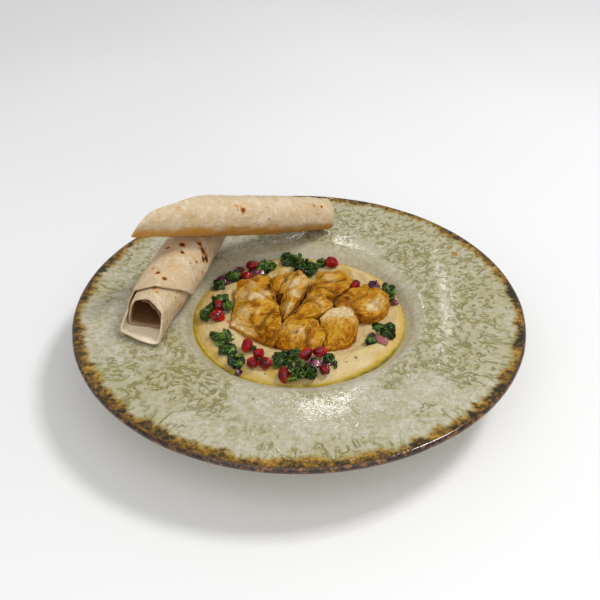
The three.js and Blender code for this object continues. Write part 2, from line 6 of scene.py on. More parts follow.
import math
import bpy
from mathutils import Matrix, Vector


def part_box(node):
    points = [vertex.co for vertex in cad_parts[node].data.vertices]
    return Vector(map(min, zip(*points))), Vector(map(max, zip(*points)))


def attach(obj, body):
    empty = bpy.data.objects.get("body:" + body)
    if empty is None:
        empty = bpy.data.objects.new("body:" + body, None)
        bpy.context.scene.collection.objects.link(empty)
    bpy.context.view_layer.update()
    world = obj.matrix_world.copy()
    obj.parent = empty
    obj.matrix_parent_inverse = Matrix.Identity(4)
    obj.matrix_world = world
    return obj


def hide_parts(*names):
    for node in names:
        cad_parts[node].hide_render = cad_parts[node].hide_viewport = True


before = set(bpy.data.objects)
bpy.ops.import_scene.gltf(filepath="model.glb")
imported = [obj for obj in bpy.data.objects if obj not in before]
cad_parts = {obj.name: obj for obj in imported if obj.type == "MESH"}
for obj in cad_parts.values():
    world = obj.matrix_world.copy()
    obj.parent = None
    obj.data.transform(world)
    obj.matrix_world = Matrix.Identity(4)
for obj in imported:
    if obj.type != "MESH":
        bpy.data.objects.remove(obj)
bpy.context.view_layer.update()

from types import SimpleNamespace as Sizes

import bmesh
import bpy
import numpy as np
from mathutils import Vector

MM = 0.001
TURN = 2 * math.pi

# ---------------- numbers and noise

SCATTER = np.array([73856093, 19349663, 83492791])  # large primes that mix a cell's place


def smooth(value, low, high):
    t = np.clip((value - low) / (high - low), 0, 1)
    return t * t * (3 - 2 * t)


def bell(gap):
    return np.exp(-gap * gap)


def xyz(x, y, z=0):
    """Points from three coordinates, each an array or a number."""
    return np.stack(np.broadcast_arrays(x, y, z), axis=-1)


def unit(vectors):
    return vectors / np.maximum(np.linalg.norm(vectors, axis=-1, keepdims=True), 1e-9)


def hermite(t, first, second, leave, arrive):
    """Smooth way from one value to another, with the slopes at its start and end."""
    return (first + (second - first) * t * t * (3 - 2 * t)
            + (t**3 - 2 * t**2 + t) * leave + (t**3 - t**2) * arrive)


def between(knots, at, sloped=False):
    """Smooth curve through (place, value) knots, level at each of them unless it is sloped."""
    places, values = np.array(knots, float).T
    at = np.clip(at, places[0], places[-1])
    slopes = np.gradient(values, places) * sloped
    i = np.clip(np.searchsorted(places, at), 1, len(places) - 1)
    wide = places[i] - places[i - 1]
    return hermite((at - places[i - 1]) / wide, values[i - 1], values[i],
                   wide * slopes[i - 1], wide * slopes[i])


def noise(points, seed):
    """Smooth noise from -1 to 1, one cell per unit, at an array of points."""
    cell = np.floor(points).astype(np.int64)
    part = points - cell
    part = part * part * (3 - 2 * part)
    total = np.zeros(len(points))
    for corner in range(8):
        step = np.array([corner & 1, corner >> 1 & 1, corner >> 2])
        weight = np.prod(np.where(step, part, 1 - part), axis=1)
        mixed = np.bitwise_xor.reduce((cell + step) * SCATTER, axis=1) ^ (seed * 2654435)
        mixed = ((mixed ^ (mixed >> 13)) * 1274126177) & 0xFFFFFFFF
        total += weight * (((mixed ^ (mixed >> 16)) & 0xFFFF) / 32767.5 - 1)
    return total


def fractal(points, octaves, seed):
    return sum(noise(points * 2**i, seed + i) / 2**i for i in range(octaves))


# ---------------- meshes


def grid_places(across, along):
    """Two coordinates of a grid's points, each from (start, end, count)."""
    return [axis.ravel() for axis in np.meshgrid(np.linspace(*across), np.linspace(*along))]


def grid_faces(columns, rows, close_columns=False, close_rows=False):
    """Quads of a grid of points in rows of `columns`."""
    i, j = np.meshgrid(np.arange(columns - 1 + close_columns), np.arange(rows - 1 + close_rows))
    i, j = i.ravel(), j.ravel()
    after, above = (i + 1) % columns, (j + 1) % rows
    return np.stack([j * columns + i, j * columns + after,
                     above * columns + after, above * columns + i], axis=1)


def sheet_faces(across, along):
    """Faces of a closed skin: two grids of the same points, one per side, joined at their rim."""
    count = across * along
    top = grid_faces(across, along)
    a = np.array([*range(across - 1), *range(across - 1, count - 1, across),
                  *range(count - 1, count - across, -1), *range(count - across, 0, -across)])
    b = np.roll(a, -1)
    rim = np.stack([a, a + count, b + count, b], axis=1)
    return np.concatenate([top, top[:, ::-1] + count, rim])


def circle(sectors):
    angles = np.arange(sectors) * TURN / sectors
    return np.cos(angles), np.sin(angles)


def lathed(radius, height, sectors, close_rows=False):
    """Points in rings, from a row of radii and heights for each, and the faces between them."""
    cos, sin = circle(sectors)
    points = xyz(radius * cos, radius * sin, height)
    return points.reshape(-1, 3), grid_faces(sectors, len(points), True, close_rows)


def linked(name, data):
    """A new object in the scene."""
    made = bpy.data.objects.new(name, data)
    bpy.context.scene.collection.objects.link(made)
    return made


def tidied(mesh, join=0):
    """Joins a mesh's points that are closer than a distance and turns its faces outward."""
    work = bmesh.new()
    work.from_mesh(mesh)
    if join:
        bmesh.ops.remove_doubles(work, verts=work.verts, dist=join * MM)
    bmesh.ops.recalc_face_normals(work, faces=work.faces)
    work.to_mesh(mesh)
    work.free()


def piece_from(name, points, faces, kind, join=0):
    mesh = bpy.data.meshes.new(name)
    mesh.from_pydata((points * MM).tolist(), [], faces.tolist())
    mesh.validate()
    mesh.materials.append(FINISHES[kind])
    tidied(mesh, join)
    mesh.shade_smooth()
    return linked(name, mesh)


def place(piece, kind, *nodes, **values):
    """Rides a finished piece on the dish, in place of CAD nodes, with values at its points."""
    for name, value in values.items():
        value = np.asarray(value, np.float32)
        sort, field = ("FLOAT", "value") if value.ndim == 1 else ("FLOAT_VECTOR", "vector")
        stored = piece.data.attributes.new(name, sort, "POINT")
        stored.data.foreach_set(field, value.ravel())
    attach(piece, "root")
    if nodes:
        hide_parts(*nodes)


def vectors_of(items, field):
    found = np.empty(len(items) * 3, np.float32)
    items.foreach_get(field, found)
    return found.reshape(-1, 3).astype(float)


def points_of(mesh):
    return vectors_of(mesh.vertices, "co") / MM


def normals_of(mesh):
    return vectors_of(mesh.vertex_normals, "vector")


def move_points(piece, points):
    piece.data.vertices.foreach_set("co", (points * MM).astype(np.float32).ravel())
    piece.data.update()


# ---------------- materials


def srgb(red, green, blue):
    """A linear colour from one named on screen."""
    linear = [c / 12.92 if c <= 0.04045 else ((c + 0.055) / 1.055) ** 2.4
              for c in (red / 255, green / 255, blue / 255)]
    return (*linear, 1.0)


class Output:
    """What a shader node gives; numbers among them add, subtract, multiply and divide."""

    def __init__(self, finish, socket):
        self.finish = finish
        self.socket = socket

    def __add__(self, other):
        return self.finish.math("ADD", self, other)

    def __sub__(self, other):
        return self.finish.math("SUBTRACT", self, other)

    def __mul__(self, other):
        return self.finish.math("MULTIPLY", self, other)

    def __truediv__(self, other):
        return self.finish.math("DIVIDE", self, other)


class Finish:
    """Builds one material's nodes: most methods add a node and give back its output."""

    def __init__(self, name, soft=None, **inputs):
        """Soft: how much light goes under the skin, its reach in metres and its reach by colour."""
        if soft:
            inputs.update(zip(("Subsurface_Weight", "Subsurface_Scale", "Subsurface_Radius"), soft))
        self.material = bpy.data.materials.new(name)
        self.material.use_nodes = True
        self.tree = self.material.node_tree
        self.shader = self.tree.nodes["Principled BSDF"]
        for key, value in inputs.items():
            self.shader.inputs[key.replace("_", " ")].default_value = value
        self.where = self.add("TexCoord", {}, "Object")

    def add(self, kind, inputs, output=0, **settings):
        node = self.tree.nodes.new("ShaderNode" + kind)
        for key, value in settings.items():
            setattr(node, key, value)
        for key, value in inputs.items():
            if isinstance(value, Output):
                self.tree.links.new(value.socket, node.inputs[key])
            elif value is not None:
                node.inputs[key].default_value = value
        return Output(self, node.outputs[output])

    def to(self, socket, output):
        self.tree.links.new(output.socket, self.shader.inputs[socket])

    def math(self, operation, first, second=None, clamp=False):
        return self.add("Math", {0: first, 1: second}, operation=operation,
                        use_clamp=clamp)

    def vector(self, operation, first, second=None):
        output = "Value" if operation in ("LENGTH", "DISTANCE") else 0
        return self.add("VectorMath", {0: first, 1: second}, output,
                        operation=operation)

    def stretch(self, factors, where=None):
        return self.vector("MULTIPLY", where or self.where, factors)

    def noise(self, size, detail=2, roughness=0.5, where=None, distortion=0.0):
        """Noise from 0 to 1 with features of a size in millimetres."""
        return self.add("TexNoise", {
            "Vector": where or self.where, "Scale": 1 / (size * MM), "Detail": detail,
            "Roughness": roughness, "Distortion": distortion}, "Fac")

    def cells(self, size):
        """Distance to the nearest of scattered points, as a share of a size in millimetres."""
        return self.add("TexVoronoi", {"Vector": self.where, "Scale": 1 / (size * MM)},
                        "Distance")

    def step(self, value, low, high, start=0.0, end=1.0):
        return self.add("MapRange", {
            "Value": value, "From Min": low, "From Max": high, "To Min": start, "To Max": end},
            "Result", interpolation_type="SMOOTHSTEP")

    def mix(self, share, first, second):
        first, second = (srgb(*colour) if isinstance(colour, tuple) else colour
                         for colour in (first, second))
        return self.add("Mix", {0: share, 6: first, 7: second}, 2, data_type="RGBA")

    def blend(self, share, first, second):
        return self.add("Mix", {0: share, 2: first, 3: second}, data_type="FLOAT")

    def ramp(self, value, *stops):
        colour = self.add("ValToRGB", {"Fac": value}, "Color")
        bands = colour.socket.node.color_ramp.elements
        while len(bands) < len(stops):
            bands.new(0.5)
        for band, (at, shade) in zip(bands, stops):
            band.position = at
            band.color = srgb(*shade)
        return colour

    def start(self, value, *stops):
        """The surface's first colour, a ramp over a value."""
        self.colour = self.ramp(value, *stops)

    def paint(self, colour, share):
        """Lays a colour over the surface's colour so far."""
        self.colour = self.mix(share, self.colour, colour)

    def cover(self, colour, value, low, high, most=1.0):
        """Lays a colour where a value goes from low to high."""
        self.paint(colour, self.step(value, low, high, 0.0, most))

    def near(self, places, where):
        """How near a point is to the closest of some round places (x, y, radius), 1 to 0."""
        closest = 0.0
        for x, y, radius in places:
            gap = self.vector("DISTANCE", where, (x * MM, y * MM, 0))
            share = self.math("SUBTRACT", 1.0, gap / (2 * radius * MM), clamp=True)
            closest = self.math("MAXIMUM", share, closest)
        return closest

    def read(self, name, output="Fac"):
        return self.add("Attribute", {}, output, attribute_name=name)

    def bump(self, height, depth, under=None):
        """Relief of a depth in millimetres where height goes from 0 to 1."""
        return self.add("Bump", {
            "Height": height, "Distance": depth * MM, "Strength": 1.0, "Normal": under})

    def done(self, relief=None):
        self.to("Base Color", self.colour)
        if relief:
            self.to("Normal", relief)
        return self.material


# Glaze: where the speckled edge band begins, how wide it is and how far its border wanders, by
# distance from the plate's centre. Burnt and rusty places: x, y, radius.
EDGE_BAND = Sizes(start=130.9, width=6.0, wander=8.0)
BURNT = [(134, 10, 9), (126, -40, 5), (-132, 30, 8), (-70, -112, 7), (108, -80, 6)]
RUSTY = [(107, 58.5, 2.6), (103, 66, 1.6)]
# Where strokes crowd and where they fade: x, y, radius.
GREENER = [(100, -30, 30), (98, 70, 26), (45, 108, 22), (-98, -68, 14), (118, 15, 20)]
WHITER = [(18, -100, 22), (-20, -84, 14), (-112, -10, 16), (-76, -4, 16), (70, -78, 14)]
# Strokes: how many go from low to high noise; where their core and halo end and are full, by
# distance from their middle line; the distance over which their slope is measured; and where they
# come in and where they are drawn out, by distance from the plate's centre.
STROKES = Sizes(count=5.8, core=(1.1, 0.25), halo=(1.8, 0.6), step=0.3, rim=(72, 84),
                runny=(122, 157))
LIP_BAND = (137.8, 139.0)
# Near the edge the noise is read along the rim as on a circle of this radius in metres, and outward
# at this share of the true distance, which draws it out.
RIM_SCALE = 0.115
DRAWN_OUT = 0.34


def drawn_outward(s, where):
    """Places whose noise runs outward to the edge."""
    flat = s.stretch((1, 1, 0), where)
    outward_axis = s.add("CombineXYZ", {"Z": s.vector("LENGTH", flat) * DRAWN_OUT})
    around = s.stretch((RIM_SCALE, RIM_SCALE, 0), s.vector("NORMALIZE", flat))
    return s.vector("ADD", around, outward_axis)


def stroke_field(s, shift, runny):
    """Noise whose level lines are the strokes: curled inside, drawn outward near the edge."""
    where = s.vector("ADD", s.where, shift)
    curls = s.noise(7.6, 0.4, where=where, distortion=1.4)
    runs = s.noise(6.4, 0.4, where=drawn_outward(s, where), distortion=0.7)
    return s.blend(runny, curls, runs) * STROKES.count


def line_gap(s, runny):
    """Distance in millimetres to the nearest level line of the stroke field."""
    step = STROKES.step
    here = stroke_field(s, (0, 0, 0), runny)
    across = stroke_field(s, (step * MM, 0, 0), runny) - here
    along = stroke_field(s, (0, step * MM, 0), runny) - here
    slope = s.math("SQRT", across * across + along * along) / step
    return s.math("PINGPONG", here, 0.5) / s.math("MAXIMUM", slope, 0.02)


def glaze_finish():
    s = Finish("stoneware_glaze", Roughness=0.1)
    flat = s.stretch((1, 1, 0))
    radius = s.vector("LENGTH", flat) / MM
    run = drawn_outward(s, s.where)

    gap = line_gap(s, s.step(radius + s.noise(30) * 50, *STROKES.runny))
    crowded = (s.near(GREENER, flat) - s.near(WHITER, flat)) * 0.22
    patches = s.step(s.noise(34, roughness=0.6) + crowded, 0.37, 0.56)
    on_rim = s.step(radius, *STROKES.rim)
    broken = s.step(s.noise(4.2, 1.5), 0.36, 0.54)
    shown = broken * on_rim * s.step(patches, 0, 1, 0.25, 1.0)
    worms = s.step(gap, *STROKES.core)
    s.start(s.noise(26, 3), (0.3, (211, 207, 195)), (0.5, (202, 198, 182)),
            (0.7, (189, 185, 164)))
    s.paint((176, 172, 136), patches * on_rim * 0.5)
    s.cover((176, 167, 140), radius, 84, 66, 0.5)
    s.paint((146, 146, 96), s.step(gap, *STROKES.halo) * shown * 0.4)
    s.paint((100, 98, 50), worms * shown * 0.8)
    grain = s.noise(1.2, 2.5)
    s.cover((146, 141, 98), grain, 0.54, 0.7, 0.45)
    dark_specks = s.step(s.cells(15), 0.075, 0.04) * s.step(s.noise(9, 0), 0.5, 0.55)
    s.paint((72, 66, 44), dark_specks * 0.8)

    speckle = s.noise(3.2, 4, 0.68)
    uneven = speckle - 0.5
    s.cover((160, 112, 40), s.near(RUSTY, flat) + uneven * 1.6, 0.45, 0.75)
    wander = s.noise(10, 3, 0.6, where=run) - 0.5
    reach = radius + wander * (2 * EDGE_BAND.wander)
    band = s.math("DIVIDE", reach - EDGE_BAND.start, EDGE_BAND.width, clamp=True)
    tone = speckle * 0.66 + s.noise(9, roughness=0.6, where=run) * 0.34
    tone = tone + (band - 0.6) * 0.12 + s.near(BURNT, flat) * 0.11
    edge = s.ramp(tone, (0.36, (186, 150, 60)), (0.45, (158, 116, 30)), (0.53, (108, 80, 24)),
                  (0.62, (42, 36, 18)))
    into = band + uneven * 0.9
    s.cover((158, 142, 74), into, -0.2, 0.3, 0.75)
    s.cover(edge, into, 0.1, 0.68)
    lip = s.ramp(speckle, (0.4, (40, 30, 30)), (0.52, (70, 48, 36)), (0.62, (140, 96, 48)))
    s.cover(lip, radius, *LIP_BAND)
    s.to("Roughness", s.step(grain, 0.3, 0.8, 0.03, 0.09))
    relief = worms * on_rim * 0.5 + s.noise(9) * 0.8
    return s.done(s.bump(relief, 0.055, s.bump(grain, 0.012)))


# Marks on the spread: x, y, radius.
OIL_POOLS = [
    (-16, -52, 4.5), (-14, -58, 3), (-16, 49, 4), (55, -16.5, 4), (30, 45, 5), (-41, 20, 3),
]
JUICE = [(-43, -8, 2.0), (-41, -9.5, 1.2)]
PEPPER = [(33.7, -43.4, 0.8), (28, -47, 0.4), (-52, 14, 0.4), (-20, -57, 0.4), (50, -2, 0.4)]


def hummus_finish():
    s = Finish("hummus_spread", (0.25, 0.003, (1.0, 0.7, 0.35)), Roughness=0.5)
    s.start(s.noise(14, 3), (0.3, (218, 197, 146)), (0.55, (209, 185, 128)),
            (0.75, (198, 170, 108)))
    fine = s.noise(1, 4, 0.75)
    s.cover((192, 157, 94), fine, 0.52, 0.7, 0.5)
    s.cover((240, 222, 180), fine, 0.46, 0.34, 0.5)
    flat = s.stretch((1, 1, 0))
    oily = s.step(s.vector("LENGTH", flat) / MM, 52, 68, -0.25, 0.5) + s.noise(16, 3)
    s.cover((206, 168, 62), oily, 0.62, 0.95, 0.7)
    s.cover((188, 152, 40), s.near(OIL_POOLS, flat) + (s.noise(5) - 0.5), 0.3, 0.6, 0.75)
    s.cover((196, 84, 34), s.near(JUICE, flat) + (s.noise(3) - 0.5), 0.35, 0.6, 0.8)
    s.cover((110, 92, 66), s.near(PEPPER, flat), 0.2, 0.4, 0.8)
    return s.done(s.bump(fine, 0.3, s.bump(s.noise(3.2), 0.35)))


def oil_finish():
    s = Finish("oil_ring", Roughness=0.04, IOR=1.47)
    deep = s.read("depth") + (s.noise(5, 3) - 0.5) * 0.9
    s.start(deep, (0.05, (208, 182, 108)), (0.3, (188, 160, 48)), (0.6, (160, 138, 16)),
            (0.95, (98, 92, 12)))
    return s.done()


def chicken_finish():
    s = Finish("seared_chicken", (0.06, 0.002, (1.0, 0.55, 0.25)), Roughness=0.34,
               Specular_IOR_Level=0.22, Specular_Tint=(1.0, 0.8, 0.4, 1.0))
    grain = s.read("grain", "Vector")
    fibre = s.noise(1.2, 3, 0.6, where=s.stretch((0.16, 1.0, 1.0), grain))
    strand = s.noise(3.2, 3, where=s.stretch((0.25, 1.0, 1.0), grain), distortion=0.9)
    mottle = s.noise(4.5, 4, 0.68)
    uneven = mottle - 0.5
    s.start(strand * 0.5 + mottle * 0.5, (0.36, (132, 74, 2)), (0.45, (180, 122, 14)),
            (0.54, (200, 148, 36)), (0.66, (215, 173, 76)))
    pale = s.read("pale") + uneven * 0.9
    cut = s.mix(s.step(fibre, 0.4, 0.62), (194, 150, 72), (216, 182, 116))
    s.cover(cut, pale, 0.2, 0.65, 0.92)
    s.cover((222, 201, 158), pale, 0.62, 1.0, 0.85)
    sear = s.read("sear") + uneven * 1.9 + (s.read("ridge") - 0.5) * 0.5
    brown = s.mix(s.step(fibre, 0.38, 0.62), (128, 68, 2), (188, 120, 16))
    s.cover(brown, sear, 0.17, 0.58, 0.92)
    s.cover((82, 34, 4), sear, 0.95, 1.35, 0.8)
    lines = s.noise(2, 3, 0.7, where=s.stretch((0.3, 1.0, 1.0), grain))
    lines = s.step(s.math("ABSOLUTE", lines - 0.5), 0.035, 0.005)
    s.paint((138, 80, 4), lines * s.step(s.noise(8, 1), 0.42, 0.62, 0.05, 0.6))
    # Painted shade in hollows, creases and the gaps between slabs.
    s.paint((66, 26, 4), s.read("hollow") * 0.92)
    return s.done(s.bump(fibre, 0.5, s.bump(strand, 0.5)))


def bread_finish():
    s = Finish("soft_flatbread", (0.1, 0.0012, (1.0, 0.7, 0.4)), Roughness=0.85,
               Specular_IOR_Level=0.25)
    cloud = s.noise(9, 4, 0.65)
    s.start(cloud, (0.3, (216, 200, 174)), (0.48, (207, 185, 152)), (0.7, (193, 166, 123)))
    sheet = s.stretch((0.45, 1.0, 1.0), s.read("sheet", "Vector"))
    rough = (s.noise(1.6, 4, 0.72) * 0.72
             + s.noise(1.3, 3, 0.6, where=sheet) * 0.28)
    s.cover((200, 168, 120), rough, 0.5, 0.62, 0.75)
    flour = s.noise(4.2, 3, 0.65)
    s.cover((229, 217, 196), flour, 0.52, 0.7, 0.55)
    # Paler inner side: partly the bread's own paler inside, partly painted light on the shaded lip
    # of the mouth.
    s.paint((248, 233, 204), s.read("inner") * 0.85)
    # Painted warm shade on the roll's underside and inner faces.
    s.cover((194, 138, 50), s.read("golden") + (cloud - 0.5), 0.3, 1.0, 0.9)
    toast = s.read("toast") + (s.noise(2, 4, 0.7) - 0.5) * 1.5
    s.cover((206, 148, 78), toast, 0.25, 0.6, 0.85)
    s.cover((132, 78, 34), toast, 0.56, 0.74)
    s.cover((66, 38, 20), toast, 0.8, 1.0)
    specks = s.step(s.cells(6), 0.15, 0.08) * s.step(s.noise(11, 1), 0.52, 0.58, 0, 0.8)
    s.paint((104, 66, 34), specks)
    # Painted shade inside the roll and under its covering turn.
    s.paint((112, 66, 16), s.read("inside") * 0.95)
    return s.done(s.bump(rough, 0.35, s.bump(flour, 0.9)))


def aril_finish():
    s = Finish("pomegranate_aril", (0.3, 0.003, (1.0, 0.1, 0.06)), Roughness=0.06, IOR=1.4,
               Specular_IOR_Level=0.6)
    s.start(s.noise(5, 1), (0.34, (86, 2, 10)), (0.5, (142, 5, 14)),
            (0.66, (196, 14, 18)))
    s.paint((64, 4, 20), s.read("wine"))
    s.cover((222, 34, 30), s.read("tip"), 0.5, 1.0, 0.45)
    return s.done(s.bump(s.noise(1.5, 1.5), 0.18))


def herb_finish():
    s = Finish("chopped_herb", Roughness=0.17, Specular_IOR_Level=0.4)
    s.start(s.noise(4.5), (0.34, (6, 18, 5)), (0.5, (18, 42, 10)), (0.66, (44, 80, 18)))
    vein, light = (s.add("SeparateXYZ", {0: s.read("leaf", "Vector")}, axis)
                   for axis in "XY")
    # Painted light: some leaves lighter at random, as if lit among shaded ones.
    s.paint((116, 148, 42), light * 0.8)
    s.cover((96, 130, 56), vein, 0.35, 0.9, 0.4)
    return s.done(s.bump(s.noise(0.9), 0.25))


def onion_finish():
    s = Finish("red_onion", (0.25, 0.002, (1.0, 0.4, 0.6)), Roughness=0.2, Coat_Weight=0.4,
               Coat_Roughness=0.08)
    skin = s.noise(3, where=s.stretch((1, 0.35, 1)))
    s.start(skin, (0.34, (52, 14, 34)), (0.52, (96, 30, 58)), (0.72, (170, 92, 112)))
    s.paint(s.mix(skin, (138, 62, 74), (180, 112, 106)), s.read("cut"))
    return s.done(s.bump(s.noise(1.1, 1), 0.2))


FINISHES = {
    "stoneware": glaze_finish(),
    "hummus": hummus_finish(),
    "oil": oil_finish(),
    "chicken": chicken_finish(),
    "flatbread": bread_finish(),
    "aril": aril_finish(),
    "herb": herb_finish(),
    "onion": onion_finish(),
}

# ---------------- plate

LIP = Sizes(radius=140.0, height=42.0, thickness=4.5, angles=(-86, 94), points=19)
WALL_TOP = (71.4, 34.8)
WALL_FOOT = (57.7, 19.9)
FLOOR_HEIGHT = 11.9
RECESS = 4.5
# Section from the middle of the underside to the lip, and from the lip to the middle of the well:
# where each run ends and, where it is bent, the place it bends towards.
UNDERSIDE = [
    [(48.5, RECESS)], [(50.0, 0.0)], [(56.5, 0.0)], [(58.0, 7.0)], [(62.5, 16.0), (59.5, 12.5)],
    [(71.5, 27.0)], [(85.0, 33.6), (76.5, 33.2)],
]
WELL = [
    [(79.0, 38.4)], [WALL_TOP, (74.9, 38.1)], [WALL_FOOT], [(40.0, FLOOR_HEIGHT), (50.5, 12.3)],
    [(0.0, FLOOR_HEIGHT)],
]
PLATE_STEP = 1.3  # length of a facet along the section
PLATE_SECTORS = 300
RIM_WAVE = 0.22
RIM_PULL = 0.0012  # share of the radius by which the outline wanders inward


def section_run(start, end, bend=None):
    """Points of a straight or bent run, without its start."""
    start, end = np.array([start, end], float)
    steps = int(math.dist(start, end) / PLATE_STEP)
    steps = max(2, steps) if bend is None else max(4, steps + 2)
    middle = (start + end) / 2 if bend is None else np.array(bend)
    t = np.linspace(0, 1, steps + 1)[1:, None]
    return (1 - t) ** 2 * start + 2 * t * (1 - t) * middle + t * t * end


def plate_section():
    half = LIP.thickness / 2
    angles = np.radians(np.linspace(*LIP.angles, LIP.points))
    lip = half * np.stack([np.cos(angles), np.sin(angles)], axis=1)
    lip += (LIP.radius - half, LIP.height - half)
    section = [[(0.0, RECESS)]]
    for run in (*UNDERSIDE, [lip[0]]):
        section.append(section_run(section[-1][-1], *run))
    section.append(lip[1:])
    for run in WELL:
        section.append(section_run(section[-1][-1], *run))
    return np.concatenate(section)


def make_plate():
    radius, height = plate_section().T[:, :, None]
    points, faces = lathed(radius, height, PLATE_SECTORS)
    radius = np.hypot(points[:, 0], points[:, 1])
    wave = fractal(points * (1 / 38, 1 / 38, 0), 2, 3) * RIM_WAVE
    points[:, 2] -= np.abs(wave) * smooth(radius, 95, 135)
    pull = RIM_PULL * np.abs(noise(points * (1 / 17, 1 / 17, 0), 5)) * smooth(radius, 120, 139)
    points[:, :2] *= 1 - pull[:, None]
    place(piece_from("stoneware_plate", points, faces, "stoneware", 0.02), "stoneware", "plate")


# ---------------- hummus and oil

DIP = Sizes(level=32.4, oil_level=30.2, shoulder=7.0, ripple=0.35, ripple_step=3.2, ripple_arms=2)
# Reach of the spread by direction in degrees.
DIP_EDGE = [
    (-180, 64.4), (-160, 64.2), (-130, 64.9), (-100, 65.2), (-76, 64.6), (-55, 63.4),
    (-30, 64.2), (-5, 65.4), (15, 67), (35, 69.5), (130, 69.5), (150, 66.5), (180, 64.4),
]
BED = Sizes(x=7.0, y=5.0, half_width=52.0, half_depth=43.0, squareness=3.0, depth=2.6,
            flat_share=0.8, lip=0.9, lip_share=1.07, lip_width=0.07, marks_from=0.92,
            marks_full=1.05)
# Mounds and spoon marks: x, y, half length, half width, heading in degrees, height.
SPOON_MARKS = [
    (-14, 57, 9, 7, 0, 2.4), (38, -37, 24, 6, 42, 1.5), (30, -50, 22, 4, 30, -1.0),
    (45, -14, 10, 5, 60, 1.6), (-52, -12, 12, 5, 100, 1.1), (-17, -43, 13, 4, -20, 1.4),
    (40, 44, 14, 5, -45, 1.2),
]
WALL_CLEARANCE = 0.25
SPREAD_GRID = Sizes(sectors=420, rings=120, wall_rings=26, floor=(50.5, 40.0, 20.0, 0.0))
OIL = Sizes(sectors=360, rings=9, step=0.1, search_to=58, sunk=0.12, meniscus=0.28, thickness=1.1,
            wide=4.0)


def dip_top(x, y):
    """Height of the spread, as its solid has it."""
    radius, azimuth = np.hypot(x, y), np.arctan2(y, x)
    across = np.abs((x - BED.x) / BED.half_width)
    deep = np.abs((y - BED.y) / BED.half_depth)
    power = BED.squareness
    fill = (across**power + deep**power) ** (1 / power)
    marked = smooth(fill, BED.marks_from, BED.marks_full)
    height = DIP.level - BED.depth * (1 - smooth(fill, BED.flat_share, 1))
    height += BED.lip * bell((fill - BED.lip_share) / BED.lip_width)
    ripples = np.sin(radius / DIP.ripple_step + azimuth * DIP.ripple_arms)
    height += DIP.ripple * marked * ripples
    for mark_x, mark_y, long, wide, heading, rise in SPOON_MARKS:
        cos, sin = math.cos(math.radians(heading)), math.sin(math.radians(heading))
        u = ((x - mark_x) * cos + (y - mark_y) * sin) / long
        v = ((y - mark_y) * cos - (x - mark_x) * sin) / wide
        height += rise * np.exp(-(u * u + v * v)) * marked
    edge = between(DIP_EDGE, np.degrees(azimuth))
    past = np.maximum(radius - (edge - DIP.shoulder), 0)
    return height - (DIP.level - DIP.oil_level) * (past / DIP.shoulder) ** 2


def wall_radius(height):
    (high_r, high_z), (low_r, low_z) = WALL_TOP, WALL_FOOT
    return low_r + (height - low_z) * (high_r - low_r) / (high_z - low_z)


def dip_detail(x, y):
    """What the solid leaves out: grooves of the spoon, small lumps and pits."""
    radius, azimuth = np.hypot(x, y), np.arctan2(y, x)
    flat = xyz(x, y)
    swirl = xyz(np.cos(azimuth) * 9, np.sin(azimuth) * 9, radius / 1.9)
    height = 0.4 * fractal(swirl, 2, 11) + 0.32 * fractal(flat / 9, 3, 12)
    return (height + 0.1 * noise(flat / 1.3, 13)) * smooth(radius, 66.5, 61)


def make_hummus():
    sectors, rings = SPREAD_GRID.sectors, SPREAD_GRID.rings
    cos, sin = circle(sectors)
    edge = np.full(sectors, 66.0)
    for _ in range(6):
        edge = wall_radius(dip_top(edge * cos, edge * sin)) - WALL_CLEARANCE
    radius = np.linspace(0, 1, rings)[:, None] ** 0.8 * edge
    x, y = (radius * cos).ravel(), (radius * sin).ravel()
    top = (dip_top(x, y) + dip_detail(x, y)).reshape(rings, sectors)
    down = np.linspace(0, 1, SPREAD_GRID.wall_rings)[1:, None]
    wall = top[-1] * (1 - down) + WALL_FOOT[1] * down
    under = np.repeat(np.array(SPREAD_GRID.floor)[:, None], sectors, axis=1)
    radii = np.concatenate([radius, wall_radius(wall) - WALL_CLEARANCE, under])
    floor = FLOOR_HEIGHT + WALL_CLEARANCE + 0.4 * (under > 45)
    points, faces = lathed(radii, np.concatenate([top, wall, floor]), sectors)
    place(piece_from("hummus_spread", points, faces, "hummus", 0.01), "hummus", "hummus")


def make_oil():
    sectors, level = OIL.sectors, DIP.oil_level
    cos, sin = circle(sectors)
    outer = wall_radius(level)
    inner = np.full(sectors, outer)
    for reach in np.arange(outer, OIL.search_to, -OIL.step):
        wet = dip_top(reach * cos, reach * sin) < level
        inner = np.where(wet & (inner >= reach - 0.11), reach - OIL.step, inner)
    inner -= 0.25 * smooth(outer - inner, 0, 0.6)
    share = np.linspace(0, 1, OIL.rings)[:, None]
    radius = inner + (outer + 0.1 - inner) * share
    height = level - OIL.sunk + OIL.meniscus * (2 * share - 1) ** 4
    points, faces = lathed(
        np.concatenate([radius, radius[::-1]]),
        np.concatenate([height, height[::-1] - OIL.thickness]), sectors, close_rows=True)
    wide = np.minimum((outer - inner) / OIL.wide, 1)
    depth = (share * (0.45 + 0.55 * wide)).ravel()
    oil = piece_from("oil_ring", points, faces, "oil")
    place(oil, "oil", "oil", depth=np.concatenate([depth, depth[::-1]]))


# ---------------- chicken

